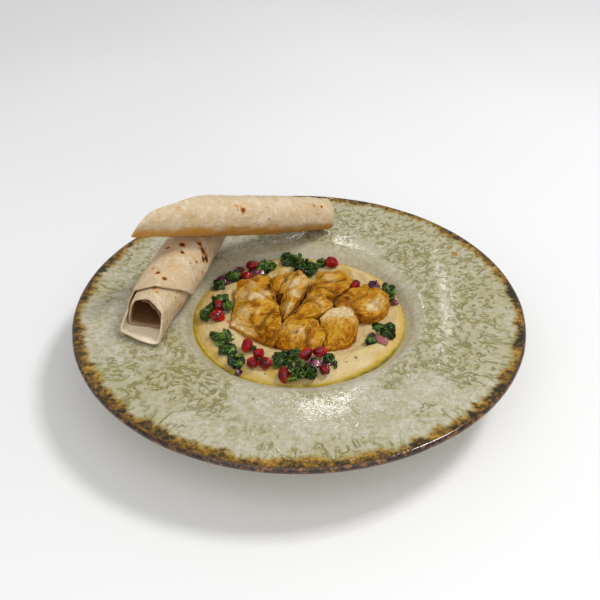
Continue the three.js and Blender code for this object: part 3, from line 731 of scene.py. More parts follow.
# Each slab: heading of its fibres in degrees, how far its torn outline wanders, and the middle and
# then the corners of its top, clockwise: x, y, height.
CHICKEN = {
    "left": (172, 0.9, [
        (-26, 3, 44.5), (-40, 26, 40), (-31, 27, 41.5), (-16, 13, 43.5), (-12, -6, 43),
        (-10, -23, 40), (-15, -33, 34.5), (-29, -23, 35), (-42, -13, 35.5)]),
    "front": (62, 1.1, [
        (2, -24, 43.5), (-10, -17, 41), (1, -18, 43.5), (11, -17, 42.5), (16, -27, 40.5),
        (14, -37, 35), (-3, -38, 35), (-14, -33, 35), (-14, -25, 39)]),
    "front_right": (80, 0.9, [
        (26, -17, 45), (13, -16, 43), (20, -8, 44.5), (33, -8, 44.5), (36, -14, 42.5),
        (35, -25, 37), (29, -33, 34.5), (16, -37, 35)]),
    "back_left": (66, 0.9, [
        (-1, 15, 45.5), (-9, 33, 42.5), (0, 34, 44), (8, 24, 44), (7, 16, 44), (-2, -5, 42),
        (-10, -16, 40), (-12, -1, 38), (-10, 17, 42)]),
    "middle": (28, 0.9, [
        (8, -7, 46.5), (5, 3, 44.5), (15, 3, 45.5), (23, 4, 43), (21, -3, 42.5), (14, -11, 42.5),
        (2, -18, 42.5), (-9, -17, 40.5)]),
    "back_right": (30, 0.9, [
        (20, 21, 47.5), (7, 18, 43.5), (15, 37, 42), (28, 33, 44), (35, 25, 42.5), (27, 11, 41.5),
        (14, 3, 44.5), (4, 3, 44)]),
    "right": (20, 1.7, [
        (43, 5, 39.5), (22, 4, 41), (28, 11, 42.5), (40, 17, 44), (49, 17, 43.5), (57, 10, 42),
        (56, 0, 39.5), (46, -8, 36), (35, -6, 39.5), (24, -2, 40)]),
    "scrap_back": (70, 1.2, [
        (-13, 24, 42.5), (-20, 30, 40.5), (-11, 33, 42.5), (-8, 24, 43), (-11, 14, 40),
        (-18, 16, 38.5)]),
    "scrap_left": (35, 0.9, [
        (-25, 26, 43), (-32, 30, 39.5), (-27, 33, 41), (-19, 31, 41.5), (-19, 21, 42),
        (-26, 19, 42)]),
}
SLAB = Sizes(base=28.0, crown=1.8, edge=1.2, grow=0.1, undercut=0.05, sectors=260, top_rings=70,
             edge_rings=7, side_rings=26)
# Relief: depth of lumps, of ridges and strands (anywhere, and added where it is seared), of torn
# sides and of hollows; then the size of each along, across and up from the fibres.
RELIEF = Sizes(lumps=0.5, ridges=(0.35, 0.75), strands=(0.1, 0.12), torn=0.35, hollow=1.6)
TEXTURE = Sizes(lumps=7, bends=6, ridges=(13, 2.6, 2.6), strands=(6, 0.95, 0.95),
                torn=(3.5, 1.8, 1.8))
FIBRE_BEND = 1.9
RIDGE_MIDDLE = 0.7
# Sunken places: x, y, radius, depth.
DIPS = [
    (46, 4, 6.5, 3.2), (-30, 6, 8, 0.8), (2, -27, 6, 1.0), (24, -15, 7, 0.8), (-18, -30, 4, 1.0),
]
# Wide shallow folds, and creases: from, to, half width, depth.
FOLDS = [
    ((-2, 34), (-9, 12), 2.6, 1.2), ((9, 19), (33, 24), 2.8, 2.2),
    ((-13, -7), (-26, -24), 3.0, 1.5), ((46, 4), (58, 13), 2.0, 0.8),
    ((46, 4), (47, 20), 2.0, 0.7), ((-36, 24), (-36, -10), 3.0, 0.9),
    ((14, -34), (12, -16), 2.6, 1.0),
]
CREASES = [
    ((10, 14.5), (23, 19), 0.9, 1.6), ((23, 19), (31, 25), 0.9, 1.4),
    ((8, 11), (22, 10), 0.8, 1.2), ((22, 10), (33, 10), 0.8, 0.9),
    ((-4.5, 35), (-15, 13), 0.9, 1.4), ((8.5, 18), (-4, -12), 1.3, 2.8),
    ((-25, -20), (-15, -7), 0.9, 1.7), ((-31, -13), (-22, -28), 0.8, 1.1),
    ((-23, -24), (-13, -12), 0.7, 1.0), ((-19, -31), (-11, -22), 0.7, 0.9),
    ((-28, 12), (-18, 2), 0.7, 0.7), ((0.5, 1.5), (8, -3), 0.7, 0.9),
    ((20, 33), (3, 12), 0.7, 0.8), ((4, -2), (14, -8), 0.6, 0.8), ((9, -20), (4, -34), 0.8, 0.8),
    ((33, 4), (44, 12), 0.8, 0.9), ((30, 6), (36, -5), 0.7, 0.8),
]
# Painted shade along the gaps between slabs: from, to, half width, strength.
SEAM_SHADES = [
    ((-9.5, -16), (-1, -3), 0.7, 1.0), ((-1, -3), (7.5, 18), 0.8, 1.0),
    ((4.5, 3), (17, 3.4), 0.5, 0.6), ((17, 3.4), (28, 8), 0.6, 0.7),
]
# Seared, pale and hollow places: x, y, radius, strength; hollow places are sunk and also painted
# with shade.
SEARED = [
    (-24, -31, 7, 0.85), (-30, -28, 5, 0.8), (-17, -25, 7, 0.7), (-29, -2.5, 3.4, 1.0),
    (-12, -33, 5, 0.9), (-14, -11, 4, 0.8), (-38, 23, 3, 0.6), (-19, 19, 4, 0.6), (5, -35, 5, 0.7),
    (9, -22, 4, 0.9), (1, -16, 4, 0.8), (-8, -36, 5, 0.6), (6, -30, 3, 0.8), (31, -33, 7, 0.6),
    (25, -38, 7, 0.8), (34, -24, 3, 0.5), (29, 4, 6.5, 1.1), (34, -5, 5, 1.0), (0, 2, 4, 0.5),
    (9, -3, 4, 0.6), (26, 14, 5, 0.5), (12, 10, 4, 0.5), (47, -10, 5, 0.8), (38, -11, 4, 0.8),
    (-2, 29, 3, 0.4), (-15, 14, 5, 0.8), (50, 16, 3, 0.8), (56, 8, 3, 0.6), (30, 28, 5, 0.4),
    (19, 30, 3, 0.4), (35, 3, 3, 0.8), (38, 8, 5, 0.6),
]
PALE = [
    (-27, 5, 6, 1.25), (-40, -15, 6, 0.9), (-33, -22, 5, 0.9), (-34, -7, 7, 0.9),
    (-36, 11, 6, 0.9), (-37, -19, 6, 0.9), (-22, 9, 5, 0.9), (-25, -9, 4, 0.7), (-30, 18, 5, 0.7),
    (-3, 18, 6, 1.1), (-7, -4, 6, 1.0), (-7, 28, 4, 0.6), (1, 20, 6, 0.9), (3, 27, 5, 0.8),
    (-3, 8, 5, 0.95), (-8, 22, 4, 0.7), (20, 25, 4, 0.7), (11, 1, 4, 0.6), (23, -13, 8, 1.35),
    (30, -12, 7, 1.3), (16, -16, 5, 1.0), (46, 3, 6, 1.1), (49, 6, 5, 1.2), (52, 1, 4, 0.8),
    (-1, -29, 5, 1.0), (-8, -23, 4, 0.7), (8, -34, 4, 0.7), (21, 22, 5, 0.7), (14, -5, 5, 0.65),
    (8, -24, 3, 0.5), (22, -24, 5, 0.4),
]
HOLLOWS = [
    (-14, 5, 3.4, 1.0), (-2.5, -29, 1.6, 1.0), (-19, 16, 3.0, 0.8), (-21, -29, 2.0, 0.7),
    (22, 3.5, 3.0, 0.8), (35, -9, 2.4, 0.8),
]


def outline_of(corners, sectors, tension=0.14):
    """Closed smooth curve through the corners, at even shares of a turn."""
    corners = np.array(corners, float)
    at = np.arange(sectors) / sectors * len(corners)
    i = np.floor(at).astype(int)
    before, first, second, after = (corners[(i + k) % len(corners)] for k in (-1, 0, 1, 2))
    return hermite((at - i)[:, None], first, second,
                   tension * (second - before), tension * (after - first))


def near_line(x, y, start, end):
    """Distance in plan from points to a line between two places."""
    start, end = np.array(start, float), np.array(end, float)
    along = end - start
    t = ((x - start[0]) * along[0] + (y - start[1]) * along[1]) / (along @ along)
    t = np.clip(t, 0, 1)
    return np.hypot(x - start[0] - t * along[0], y - start[1] - t * along[1])


def strongest(x, y, places):
    """Strength of the strongest of some round places (x, y, radius, strength) at points."""
    return np.maximum.reduce([strength * bell(np.hypot(x - spot_x, y - spot_y) / radius)
                              for spot_x, spot_y, radius, strength in places])


def spots(x, y, places):
    """The same for places with an uneven outline."""
    flat = xyz(x, y) / 4.5
    return strongest(x + 2.2 * fractal(flat, 2, 31), y + 2.2 * fractal(flat, 2, 37), places)


def slab(torn, corners, seed):
    """Points of a torn slab from the middle of its top over the edge to its underside."""
    middle, *corners = np.array(corners, float)
    sectors, rounding, base = SLAB.sectors, SLAB.edge, SLAB.base
    edge = outline_of(corners, sectors)
    reach = edge - middle
    length = np.hypot(reach[:, 0], reach[:, 1])
    ragged = torn * fractal(edge / (4.2, 4.2, 9), 3, seed) + SLAB.grow
    high = edge[:, 2] + 0.8 * fractal(edge / (5.5, 5.5, 9), 2, seed + 5)
    reach = reach * ((length + ragged) / length)[:, None]
    low = high - rounding
    out = np.linspace(0, 1, SLAB.top_rings)[:-1, None] ** 0.85
    angle = np.linspace(0, math.pi / 2, SLAB.edge_rings)[:, None]
    down = np.linspace(0, 1, SLAB.side_rings)[1:, None]
    runs = [
        (out * (1 - rounding / length), middle[2] + (high - middle[2]) * out ** SLAB.crown),
        (1 - rounding / length * (1 - np.sin(angle)), low + rounding * np.cos(angle)),
        (1 - SLAB.undercut * down, low + (base - low) * down),
        (np.array([[0.6], [0.0]]), base),
    ]
    rings = np.concatenate([
        xyz(middle[0] + reach[:, 0] * share, middle[1] + reach[:, 1] * share, height)
        for share, height in runs])
    points = rings.reshape(-1, 3)
    folds = sum(deep * bell(near_line(points[:, 0], points[:, 1], start, end) / wide)
                for start, end, wide, deep in FOLDS)
    points[:, 2] -= folds * (points[:, 2] > base + 0.1)
    return points, grid_faces(sectors, len(rings), close_columns=True)


def neighbour_gap(name, x, y):
    """Distance in plan from points to the outlines of the other slabs."""
    lines = [outline_of(corners[1:], 120)
             for other, (_, _, corners) in CHICKEN.items() if other != name]
    return np.min([np.hypot(x[:, None] - line[:, 0], y[:, None] - line[:, 1]).min(axis=1)
                   for line in lines], axis=0)


def along_grain(points, heading, seed):
    """Places measured along the fibres, across them and upward, a little bent."""
    cos, sin = math.cos(math.radians(heading)), math.sin(math.radians(heading))
    straight = points @ np.array([[cos, -sin, 0], [sin, cos, 0], [0, 0, 1]])
    bends = xyz(*(noise(points / TEXTURE.bends, seed + i) for i in range(3)))
    return straight + FIBRE_BEND * bends


def make_chicken(name, index):
    seed = 100 + 10 * index
    heading, torn, corners = CHICKEN[name]
    points, faces = slab(torn, corners, seed)
    piece = piece_from("chicken_piece_" + name, points, faces, "chicken", 0.01)
    points = points_of(piece.data)
    normals = normals_of(piece.data)
    x, y, up = points[:, 0], points[:, 1], normals[:, 2]
    grain = along_grain(points, heading, seed)
    upward = smooth(up, 0.1, 0.8)
    sear, pale = spots(x, y, SEARED), spots(x, y, PALE)
    hollow, dips = spots(x, y, HOLLOWS) * upward, spots(x, y, DIPS) * upward
    creases = upward * sum(deep * np.exp(-near_line(x, y, start, end) / wide)
                           for start, end, wide, deep in CREASES)
    ridges = 1 - np.abs(fractal(grain / TEXTURE.ridges, 2, seed + 3)) - RIDGE_MIDDLE
    strands = 1 - 2 * np.abs(noise(grain / TEXTURE.strands, seed + 6))
    torn = np.abs(noise(grain / TEXTURE.torn, seed + 8)) * (1 - upward)
    lift = RELIEF.lumps * fractal(points / TEXTURE.lumps, 2, seed) - RELIEF.torn * torn
    for depths, pattern in ((RELIEF.ridges, ridges), (RELIEF.strands, strands)):
        lift += (depths[0] + depths[1] * sear) * pattern
    lift -= creases + RELIEF.hollow * hollow + dips
    points += normals * lift[:, None]
    move_points(piece, points)
    x, y = points[:, 0], points[:, 1]
    rim = smooth(up, 0.85, 0.3) * smooth(up, -0.3, 0.2) * 0.45 * (1 - np.clip(pale, 0, 1))
    # Painted shade: darker in hollows, creases and the gaps between slabs, where shade falls; the
    # hollow attribute carries it.
    gap_shade = smooth(neighbour_gap(name, x, y), 2.4, 0.8) * smooth(up, 0.9, 0.4)
    jagged = 0.5 * fractal(points / 3, 2, seed + 9)
    seam_shades = [strength * bell((near_line(x, y, start, end) + jagged) / wide)
             for start, end, wide, strength in SEAM_SHADES]
    dark = np.maximum.reduce([hollow, 0.6 * np.minimum(creases, 1.3), 0.9 * gap_shade, *seam_shades])
    place(piece, "chicken", "chicken_" + name, grain=grain * MM, sear=np.clip(sear + rim, 0, 1),
          pale=pale * (0.35 + 0.65 * upward), hollow=np.clip(dark, 0, 1),
          ridge=np.clip(0.5 + 0.9 * ridges + 0.25 * strands, 0, 1))


# ---------------- flatbread rolls

# By turn: how far out the mouth is pinched, and where the sheet starts and ends along the roll.
# By distance along the roll: its swelling and flattening.
LOWER_ROLL = Sizes(
    node="flatbread_lower", near=(-89.3, -33.4, 56.25), far=(-53.2, 118.8, 56.0),
    inner_radius=10.6, turns=(-1.15, 1.45), thickness=1.9, ragged=0.5, pitch=2.9,
    sag=(-0.9, 8.6, 0.22),
    mouth=[
        (0, 0.86), (0.13, 0.7), (0.25, 0.62), (0.42, 1.06), (0.52, 0.98), (0.65, 1.3),
        (0.77, 0.98), (0.87, 0.84), (1, 0.86)],
    # dark_from: where the painted shade inside the roll starts and is full, by distance along it;
    # the other number sets the strength of the painted warm shade underneath.
    mouth_length=34.0, dark_from=(-5, 8), golden=0.4,
    # Corners that the mouth is folded into: share of a turn, share of the radius.
    corners=[(0.03, 0.9), (0.2, 0.68), (0.42, 1.08), (0.65, 1.32), (0.88, 0.92)],
    swell=[(0, 1), (14, 1), (42, 0.9), (150, 0.88)],
    flatten=[
        (0, 0.97), (14, 0.97), (42, 1.06), (62, 1.155), (86, 1.02), (120, 0.98)],
    near_edge=[
        (-1.15, 8), (-0.5, 5), (-0.25, 3), (0, 2), (0.25, 0), (0.5, -7), (0.65, -2), (0.8, 8),
        (0.98, 10), (1.12, 16.3), (1.25, 27.5), (1.45, 56)],
    far_edge=[
        (-1.15, 112), (0, 116), (0.75, 117), (0.86, 128), (1, 115), (1.25, 104), (1.45, 86)],
    # Toasted spots: turn, distance along the roll, radius, strength.
    toast=[
        (1.041, 54.1, 2.4, 1.2), (0.961, 49, 1.6, 1.2), (1.065, 47.5, 1.8, 1.2),
        (0.999, 22.4, 1.8, 1.2), (1.052, 19.2, 1.9, 1.2), (0.957, 26.8, 1.2, 1.1),
        (1.255, 51.6, 1.6, 1.1), (1.171, 49.6, 1.6, 1.1), (1.127, 63.7, 3.2, 0.9),
        (1.169, 61.7, 3.4, 1.1), (1.22, 62, 3.0, 1.2), (1.2, 58, 2.2, 1.2),
        (1.047, 29.5, 5.2, 0.42), (1.03, 33, 3.4, 0.4), (1.136, 43.6, 0.9, 0.9),
        (1.083, 45.2, 0.9, 0.9), (1.151, 21.2, 1.2, 0.6), (0.025, 11.3, 2.4, 0.7),
        (0.054, 9.9, 2.4, 0.7), (0.178, 19.8, 2.2, 0.6), (0.253, 21.2, 1.8, 0.6),
        (0.3, 20, 4.0, 0.6), (1.35, 80, 4.0, 0.7), (0.8, 84, 3.0, 0.7)])
UPPER_ROLL = Sizes(
    node="flatbread_upper", near=(24.0, 99.4, 48.0), far=(-103.5, -1.1, 104.4), inner_radius=6.9,
    turns=(-1.3, 1.5), thickness=1.9, ragged=0.35, pitch=2.5, sag=(-1.05, 1.6, 0.18),
    mouth=[(0, 1), (1, 1)], mouth_length=10.0, dark_from=(8, 30), golden=1.0, corners=None,
    swell=[(0, 0.84), (60, 1), (100, 1), (150, 0.96)], flatten=[(0, 0.97), (150, 0.97)],
    near_edge=[
        (-1.3, 10), (0, 7), (0.5, 6), (0.65, 5.5), (0.75, 7.5), (0.9, 8), (1, 6.5), (1.1, 2),
        (1.25, -1), (1.4, 7), (1.5, 10)],
    far_edge=[
        (-1.3, 104), (-0.75, 122), (-0.5, 130), (0, 108), (0.25, 122), (0.5, 162), (0.6, 167),
        (0.68, 168.5), (0.78, 165.5), (0.87, 157), (0.95, 137), (1.05, 118), (1.2, 112),
        (1.5, 140)],
    toast=[
        (0.86, 92, 2.8, 1.0), (0.9, 96, 2.0, 0.7), (0.91, 28, 2.0, 0.8), (0.9, 20, 2.0, 0.9),
        (0.72, 62, 2.2, 0.7), (0.89, 140, 1.4, 0.9), (0.75, 12, 1.5, 0.7), (0.93, 119, 2.6, 0.35),
        (0.82, 84, 1.6, 0.4), (1.2, 60, 4.0, 0.8), (1.35, 100, 5.0, 0.7), (0.4, 40, 4.0, 0.7)])
ROLL_GRID = Sizes(per_turn=64, along=97)
ROLL_WAVE = 0.3
BLISTER = 0.7
FOLDED_SHARE = 0.75  # how far the mouth goes from its rounded to its folded outline


def roll_line(roll, turn):
    """Middle line of the sheet across the roll: distance from the axis by turn."""
    sag_turn, depth, wide = roll.sag
    sag = depth * bell((turn - sag_turn) / wide)
    radius = roll.inner_radius + roll.pitch * (turn - roll.turns[0]) - sag
    return np.stack([np.sin(turn * TURN), np.cos(turn * TURN)], axis=1) * radius[:, None]


def polygon(corners, turn):
    """Distance from the middle to the straight sides between corners (share of a turn, radius)."""
    places, values = np.array(corners).T
    i = np.searchsorted(places, turn % 1) % len(places)
    to_next, from_last = (places[i] - turn) % 1 * TURN, (turn - places[i - 1]) % 1 * TURN
    ahead, behind = values[i], values[i - 1]
    return behind * ahead * np.sin(from_last + to_next) / (
        behind * np.sin(from_last) + ahead * np.sin(to_next))


def roll_sides(roll, index, turn, distance, edge_gap):
    """Points of the outer and then the inner side of the wound sheet."""
    middle = roll_line(roll, turn)
    tangent = unit(roll_line(roll, turn + 0.02) - roll_line(roll, turn - 0.02))
    normal = tangent[:, ::-1] * (-1, 1)
    pinch = between(roll.mouth, turn % 1)
    if roll.corners:
        pinch += (polygon(roll.corners, turn) - pinch) * FOLDED_SHARE
    opened = smooth(distance, 0, roll.mouth_length)
    swell = between(roll.swell, distance) * (pinch + (1 - pinch) * opened)
    sheet = xyz(turn * 15, distance / 13)
    wave = ROLL_WAVE * fractal(sheet, 2, 60 + index)
    blister = np.clip(noise(sheet * 2.2, 70 + index) - 0.3, 0, 1) * BLISTER
    blister *= smooth(turn, roll.turns[1] - 1.05, roll.turns[1] - 0.95)
    half = roll.thickness / 2 * (0.55 + 0.45 * smooth(edge_gap, 0, 1.2))
    near, far = np.array(roll.near), np.array(roll.far)
    axis = unit(far - near)
    right = unit(np.cross(axis, (0, 0, 1)))
    axes = np.stack([axis, right, np.cross(right, axis)])
    sides = []
    for offset in (wave + half + blister, wave - half):
        flat = (middle + normal * offset[:, None]) * swell[:, None]
        rise = flat[:, 1] * between(roll.flatten, distance)
        sides.append(near + xyz(distance, flat[:, 0], rise) @ axes)
    return np.concatenate(sides)


def make_roll(roll, index):
    first, last = roll.turns
    across, along = int((last - first) * ROLL_GRID.per_turn) + 1, ROLL_GRID.along
    turn, share = grid_places((first, last, across), (0, 1, along))
    start, end = (
        between(edge, turn, sloped=True) + roll.ragged * fractal(xyz(turn * 9, 0), 3, seed + index)
        for edge, seed in ((roll.near_edge, 40), (roll.far_edge, 50)))
    distance = start + (end - start) * share
    edge_gap = np.minimum(np.minimum(share, 1 - share) * (end - start),
                          np.minimum(turn - first, last - turn) * 80)
    points = roll_sides(roll, index, turn, distance, edge_gap)
    name = roll.node.replace("flatbread", "flatbread_roll")
    piece = piece_from(name, points, sheet_faces(across, along), "flatbread")

    around = TURN * (roll.inner_radius + 6)
    toast = strongest(turn * around, distance,
                      [(spot_turn * around, *spot) for spot_turn, *spot in roll.toast])
    sheet = xyz(turn * TURN * roll.inner_radius, distance, 7.0 * index) * MM
    up = np.cos(turn * TURN)
    # Painted warm shade: golden on the roll's underside and deeper into its inner side, where shade
    # falls.
    low = smooth(-up, 0.25 - 0.6 * roll.golden, 0.6) * roll.golden
    inner_warm_shade = (0.2 + 0.65 * smooth(distance, 0, 7)) * (0.35 + 0.65 * smooth(up, -0.7, 0.1))
    # Painted shade: darker inside the roll's hollow and on the outer side where the next turn
    # covers it; the inside attribute carries it.
    over, under = (between(roll.near_edge, turn + side, sloped=True) for side in (1, -1))
    shaded_by_next_turn = (turn + 1 < last) * smooth(distance - over, 1, 5)
    deep = np.where(turn - 1 > first, smooth(distance - under, 0, 5),
                    smooth(distance, *roll.dark_from))
    deep *= smooth(end - distance, 3, 34)
    # Values on the outer and the inner side.
    values = {"toast": (toast, toast * 0.3), "sheet": (sheet, sheet + 0.01),
              "inner": (0 * turn, 0 * turn + 1), "golden": (low, inner_warm_shade),
              "inside": (deep * shaded_by_next_turn * 0.8, deep)}
    place(piece, "flatbread", roll.node,
          **{key: np.concatenate(sides) for key, sides in values.items()})


# ---------------- arils, onion and herbs


def remeshed(node, name, kind, voxel):
    """A finely and evenly meshed copy of a CAD node."""
    piece = linked(name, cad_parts[node].data.copy())
    tidied(piece.data, 0.01)
    step = piece.modifiers.new("remesh", "REMESH")
    step.mode = "VOXEL"
    step.voxel_size = voxel * MM
    ready = piece.evaluated_get(bpy.context.evaluated_depsgraph_get())
    mesh = bpy.data.meshes.new_from_object(ready)
    piece.modifiers.clear()
    piece.data = mesh
    mesh.materials.clear()
    mesh.materials.append(FINISHES[kind])
    mesh.shade_smooth()
    return piece


def soften(piece, rounds):
    """Evens out a mesh by moving each point halfway to the middle of its neighbours."""
    points = points_of(piece.data)
    edges = np.array([edge.vertices[:] for edge in piece.data.edges])
    count = np.maximum(np.bincount(edges.ravel(), minlength=len(points)), 1)[:, None]
    for _ in range(rounds):
        total = np.zeros_like(points)
        np.add.at(total, edges[:, 0], points[edges[:, 1]])
        np.add.at(total, edges[:, 1], points[edges[:, 0]])
        points += (total / count - points) * 0.5
    move_points(piece, points)
    return points


def ball(divisions):
    work = bmesh.new()
    bmesh.ops.create_icosphere(work, subdivisions=divisions, radius=1.0)
    points = np.array([v.co[:] for v in work.verts])
    faces = np.array([[v.index for v in face.verts] for face in work.faces])
    work.free()
    return points, faces


ARIL_SWELL = 1.05
# How dark an aril is, where it isn't 0.1.
WINE_RED = {
    "aril_02": 0.75, "aril_03": 0.3, "aril_07": 0.55, "aril_09": 0.55, "aril_10": 0.6,
    "aril_12": 0.65, "aril_13": 0.4,
}
CUT_ONION = {"onion_05": 0.9, "onion_04": 0.25, "onion_09": 0.3}


def make_aril(node, index):
    """An aril on the main axes of its solid, the longest first and its narrow end ahead."""
    rng = np.random.default_rng(500 + index)
    cloud = points_of(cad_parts[node].data)
    middle = (cloud.min(0) + cloud.max(0)) / 2
    axes = np.linalg.eigh(np.cov((cloud - cloud.mean(0)).T))[1][:, ::-1].T
    local = (cloud - middle) @ axes.T
    if (local[:, 0] ** 3).sum() < 0:
        axes = -axes
    reach = np.abs(local).max(0) * ARIL_SWELL
    points, faces = ball(4)
    long, side_a, side_b = points.T
    around = np.arctan2(side_b, side_a)
    facets = 1 - 0.13 * np.abs(np.cos(around * 2.5 + rng.uniform(0, TURN) + long * 0.6))
    narrow = (1 - 0.34 * np.clip(long, 0, 1) ** 2 - 0.1 * np.clip(-long, 0, 1) ** 2) * facets
    shaped = xyz(long, side_a * narrow, side_b * narrow)
    shaped += 0.1 * points * noise(points * 1.9 + index * 9.1, 520 + index)[:, None]
    piece = piece_from(node.replace("aril", "pomegranate_aril"), middle + (shaped * reach) @ axes,
                       faces, "aril")
    place(piece, "aril", node, tip=(long + 1) / 2, wine=0 * long + WINE_RED.get(node, 0.1))


def make_onion(node, index):
    piece = remeshed(node, node.replace("onion", "onion_sliver"), "onion", 0.3)
    points = soften(piece, 4)
    points += normals_of(piece.data) * (0.22 * fractal(points / 2.2, 2, 600 + index))[:, None]
    move_points(piece, points)
    place(piece, "onion", node, cut=np.full(len(points), CUT_ONION.get(node, 0.0)))


def leaf(rng, size):
    """One torn leaf, from its root outward: points, (vein, lightness, 0) and faces; the lightness,
    random by leaf, is painted light that makes some leaves look lit.
    """
    across, along = 7, 6
    u, v = grid_places((-1, 1, across), (0, 1, along))
    lobes = 1 + 0.2 * np.sin(v * rng.uniform(9, 14) + rng.uniform(0, TURN))
    outline = np.sin(np.pi * np.clip(v * 0.86 + 0.1, 0, 1)) ** 0.7 * lobes
    width = size * rng.uniform(0.32, 0.5)
    x = v * size
    y = u * width * outline
    curl = rng.uniform(-0.5, 1.4)
    cup = rng.uniform(-0.6, 1.0)
    z = size * (0.35 * v - 0.5 * curl * v * v) + cup * width * u * u
    z += 0.6 * noise(xyz(x, y) / 2.2 + rng.uniform(0, 50, 3), 7)
    points = xyz(x, y, z)
    vein = np.tile(bell(u / 0.16), 2)
    return (np.concatenate([points, points - (0, 0, 0.28)]),
            xyz(vein, rng.uniform(0, 1) ** 3), sheet_faces(across, along))


def sliver(rng, length):
    """A thin curved strip of onion: points, how far it shows its cut side, and faces."""
    across, along = 5, 12
    u, v = grid_places((-1, 1, across), (-1, 1, along))
    width = length * rng.uniform(0.13, 0.2) * np.sqrt(np.maximum(1 - 0.9 * v * v, 0.04))
    bend = length * rng.uniform(0.15, 0.45) * 0.3 * v * v
    points = xyz(v * length / 2, u * width + bend, 0.3 * width * (1 - u * u) - bend)
    both = np.concatenate([points, points - (0, 0, 0.7)])
    return both, np.zeros(len(both)), sheet_faces(across, along)


def surface_places(node, count, rng):
    """Places spread over a node's upper skin, with the way that the skin faces."""
    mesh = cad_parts[node].data
    mesh.calc_loop_triangles()
    corners = np.array([tri.vertices[:] for tri in mesh.loop_triangles])
    a, b, c = points_of(mesh)[corners.T]
    facing = np.cross(b - a, c - a)
    chance = np.linalg.norm(facing, axis=1) * (0.15 + smooth(unit(facing)[:, 2], -0.2, 0.6))
    picked = rng.choice(len(chance), count, p=chance / chance.sum())
    s, t = rng.uniform(0, 1, (2, count, 1))
    s, t = np.where(s + t > 1, (1 - s, 1 - t), (s, t))
    return a[picked] + (b - a)[picked] * s + (c - a)[picked] * t, unit(facing[picked])


def laid(rng, points, at, up):
    """Points of a flat thing turned to face a way, with a random heading, and set at a place."""
    ahead = unit(np.cross(up, rng.normal(0, 1, 3)))
    return at + (points - points.mean(0)) @ np.stack([ahead, np.cross(up, ahead), up])


def above_dip(points, low=0.0):
    points[:, 2] = np.maximum(points[:, 2], np.maximum(dip_top(*points[:, :2].T) + 0.1, low))
    return points


def gathered(name, kind, parts, *nodes):
    """One piece of (points, values, faces) parts."""
    points, values, faces = zip(*parts)
    starts = np.cumsum([0, *(len(part) for part in points[:-1])])
    faces = np.concatenate([part + start for part, start in zip(faces, starts)])
    key = {"herb": "leaf", "onion": "cut"}[kind]
    piece = piece_from(name, np.concatenate(points), faces, kind)
    place(piece, kind, *nodes, **{key: np.concatenate(values)})


def make_herb(node, index):
    rng = np.random.default_rng(700 + index)
    low, high = (np.array(corner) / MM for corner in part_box(node))
    wide, deep = (high - low)[:2]
    middle = (low + high) / 2
    parts = []
    for at, face in zip(*surface_places(node, int(8 + wide * deep / 11), rng)):
        points, looks, faces = leaf(rng, rng.uniform(4.2, 8.4))
        up = unit(face + rng.normal(0, 0.45, 3) + (0, 0, 0.5))
        points = laid(rng, points, at + (middle - at) * 0.3, up)
        points = np.clip(points, low - (0.6, 0.6, 0.2), high + (0.6, 0.6, 0.9))
        parts.append((above_dip(points, low[2] - 0.2), looks, faces))
    gathered(node.replace("herb", "herb_clump"), "herb", parts, node)


# Bits between the clumps: x, y, spread, how many, size.
HERB_BITS = [
    (-4, -43, 3, 4, 4.5), (1, -41, 3, 4, 4.5), (1, -51, 3, 5, 4.5), (-3, -57, 3, 5, 4.5),
    (5, -52, 3, 3, 4), (10, -47, 2, 3, 3.5), (-27, -38, 2, 4, 4), (-33, -47, 2, 5, 4.5),
    (-24, -47, 2, 3, 3.5), (-43, -31, 2, 3, 4.5), (-46, -22, 3, 2, 4), (-29, 50, 3, 5, 4.5),
    (-38, 41, 3, 4, 4.5), (-25, 53, 2, 3, 4.5), (1, 60, 4, 6, 5), (12, 54, 3, 4, 4.5),
    (-47, -5, 2, 2, 3.5), (38, 31, 2, 3, 4), (57, 23, 3, 4, 4.5), (44, -20, 1, 1, 3.5),
    (-8, 60, 3, 4, 5), (20, -52, 2, 2, 3.5),
]
ONION_BITS = [
    (9, -51, 3, 3, 6.5), (14, -52, 3, 3, 5.5), (4, -48, 2, 2, 5), (-37, -48, 2, 2, 5),
    (-48, 37, 3, 3, 7), (-45, 42, 3, 2, 6), (-30, 44, 3, 3, 6), (-37, 49, 3, 2, 5.5),
    (50, 35, 2, 2, 5), (55, 24, 3, 2, 5), (60, 14, 2, 2, 4), (0, 56, 2, 2, 5), (45, -21, 2, 2, 4),
]


def make_bits(kind, places, shape, lift, seed):
    rng = np.random.default_rng(seed)
    parts = []
    for x, y, spread, count, size in places:
        for _ in range(count):
            at = np.array([*rng.normal((x, y), spread / 2), 0.0])
            at[2] = dip_top(at[:1], at[1:2])[0] + rng.uniform(*lift)
            points, values, faces = shape(rng, size * rng.uniform(0.75, 1.25))
            up = unit((0, 0, 1) + rng.normal(0, 0.4, 3))
            parts.append((above_dip(laid(rng, points, at, up)), values, faces))
    gathered(kind + "_bits", kind, parts)


# ---------------- stage, light and camera

FLOOR_SIZE = 6.0
SKY = 0.42
CAMERA = Sizes(place=(0, -0.42425, 0.35159), lens=50.12, sensor=36.0,
               aim=(0.00113, 0.80963, -0.58694))
# Area lights: direction and elevation in degrees, distance and size in metres, power, and the
# place in millimetres that they look at. Direction 0 is behind the dish, and 90 to its right.
LIGHTS = {
    "key": (78, 60, 1.5, (0.36, 0.3), 10.6, (0, 0, 40)),
    "window": (1.2, 36.2, 2.0, (0.10, 0.04), 0.19, (20, -92, 39)),
    "window_right": (7.4, 37.1, 2.0, (0.03, 0.05), 0.035, (95, 20, 39)),
    "fill": (182, 46, 1.6, (2.2, 1.8), 13, (0, 0, 40)),
}


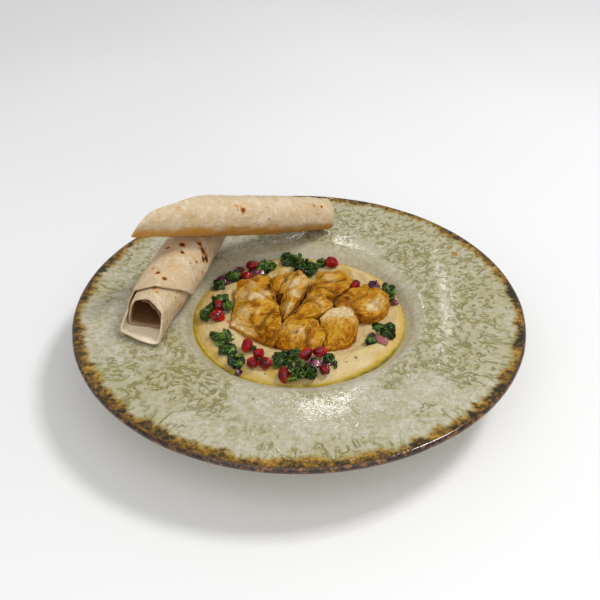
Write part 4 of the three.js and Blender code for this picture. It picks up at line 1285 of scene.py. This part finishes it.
def make_floor():
    mesh = bpy.data.meshes.new("floor")
    half = FLOOR_SIZE / 2
    mesh.from_pydata([(-half, -half, 0), (half, -half, 0), (half, half, 0), (-half, half, 0)],
                     [], [(0, 1, 2, 3)])
    s = Finish("pale_floor", Roughness=0.9)
    s.start(s.noise(400, 1), (0.3, (240, 240, 240)), (0.7, (246, 246, 246)))
    mesh.materials.append(s.done())
    linked("floor", mesh)


def make_light(name, direction, elevation, distance, size, power, aim):
    data = bpy.data.lights.new(name, "AREA")
    data.shape = "RECTANGLE"
    data.size, data.size_y = size
    data.energy = power
    lamp = linked(name, data)
    a, e = math.radians(direction), math.radians(elevation)
    way = Vector((math.sin(a) * math.cos(e), math.cos(a) * math.cos(e), math.sin(e)))
    lamp.location = way * distance + Vector(aim) * MM
    lamp.rotation_euler = way.to_track_quat("Z", "Y").to_euler()
    lamp.visible_camera = False


def make_world():
    world = bpy.data.worlds.new("studio")
    world.use_nodes = True
    sky = world.node_tree.nodes["Background"]
    sky.inputs["Color"].default_value = (1.0, 1.0, 1.0, 1)
    sky.inputs["Strength"].default_value = SKY
    bpy.context.scene.world = world


def make_camera():
    data = bpy.data.cameras.new("camera")
    data.lens = CAMERA.lens
    data.sensor_width = CAMERA.sensor
    camera = linked("camera", data)
    camera.location = CAMERA.place
    camera.rotation_euler = Vector(CAMERA.aim).to_track_quat("-Z", "Y").to_euler()
    bpy.context.scene.camera = camera


make_plate()
make_hummus()
make_oil()
for number, slab_name in enumerate(CHICKEN):
    make_chicken(slab_name, number)
for number, bread in enumerate([LOWER_ROLL, UPPER_ROLL]):
    make_roll(bread, number)
for maker, prefix in ((make_aril, "aril_"), (make_onion, "onion_"), (make_herb, "herb_")):
    for number, found in enumerate(sorted(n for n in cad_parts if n.startswith(prefix))):
        maker(found, number)
make_bits("herb", HERB_BITS, leaf, (1.0, 4.2), 900)
make_bits("onion", ONION_BITS, sliver, (0.7, 3.4), 901)
make_floor()
make_world()
for light, settings in LIGHTS.items():
    make_light(light, *settings)
make_camera()
bpy.context.scene.view_settings.view_transform = "Standard"
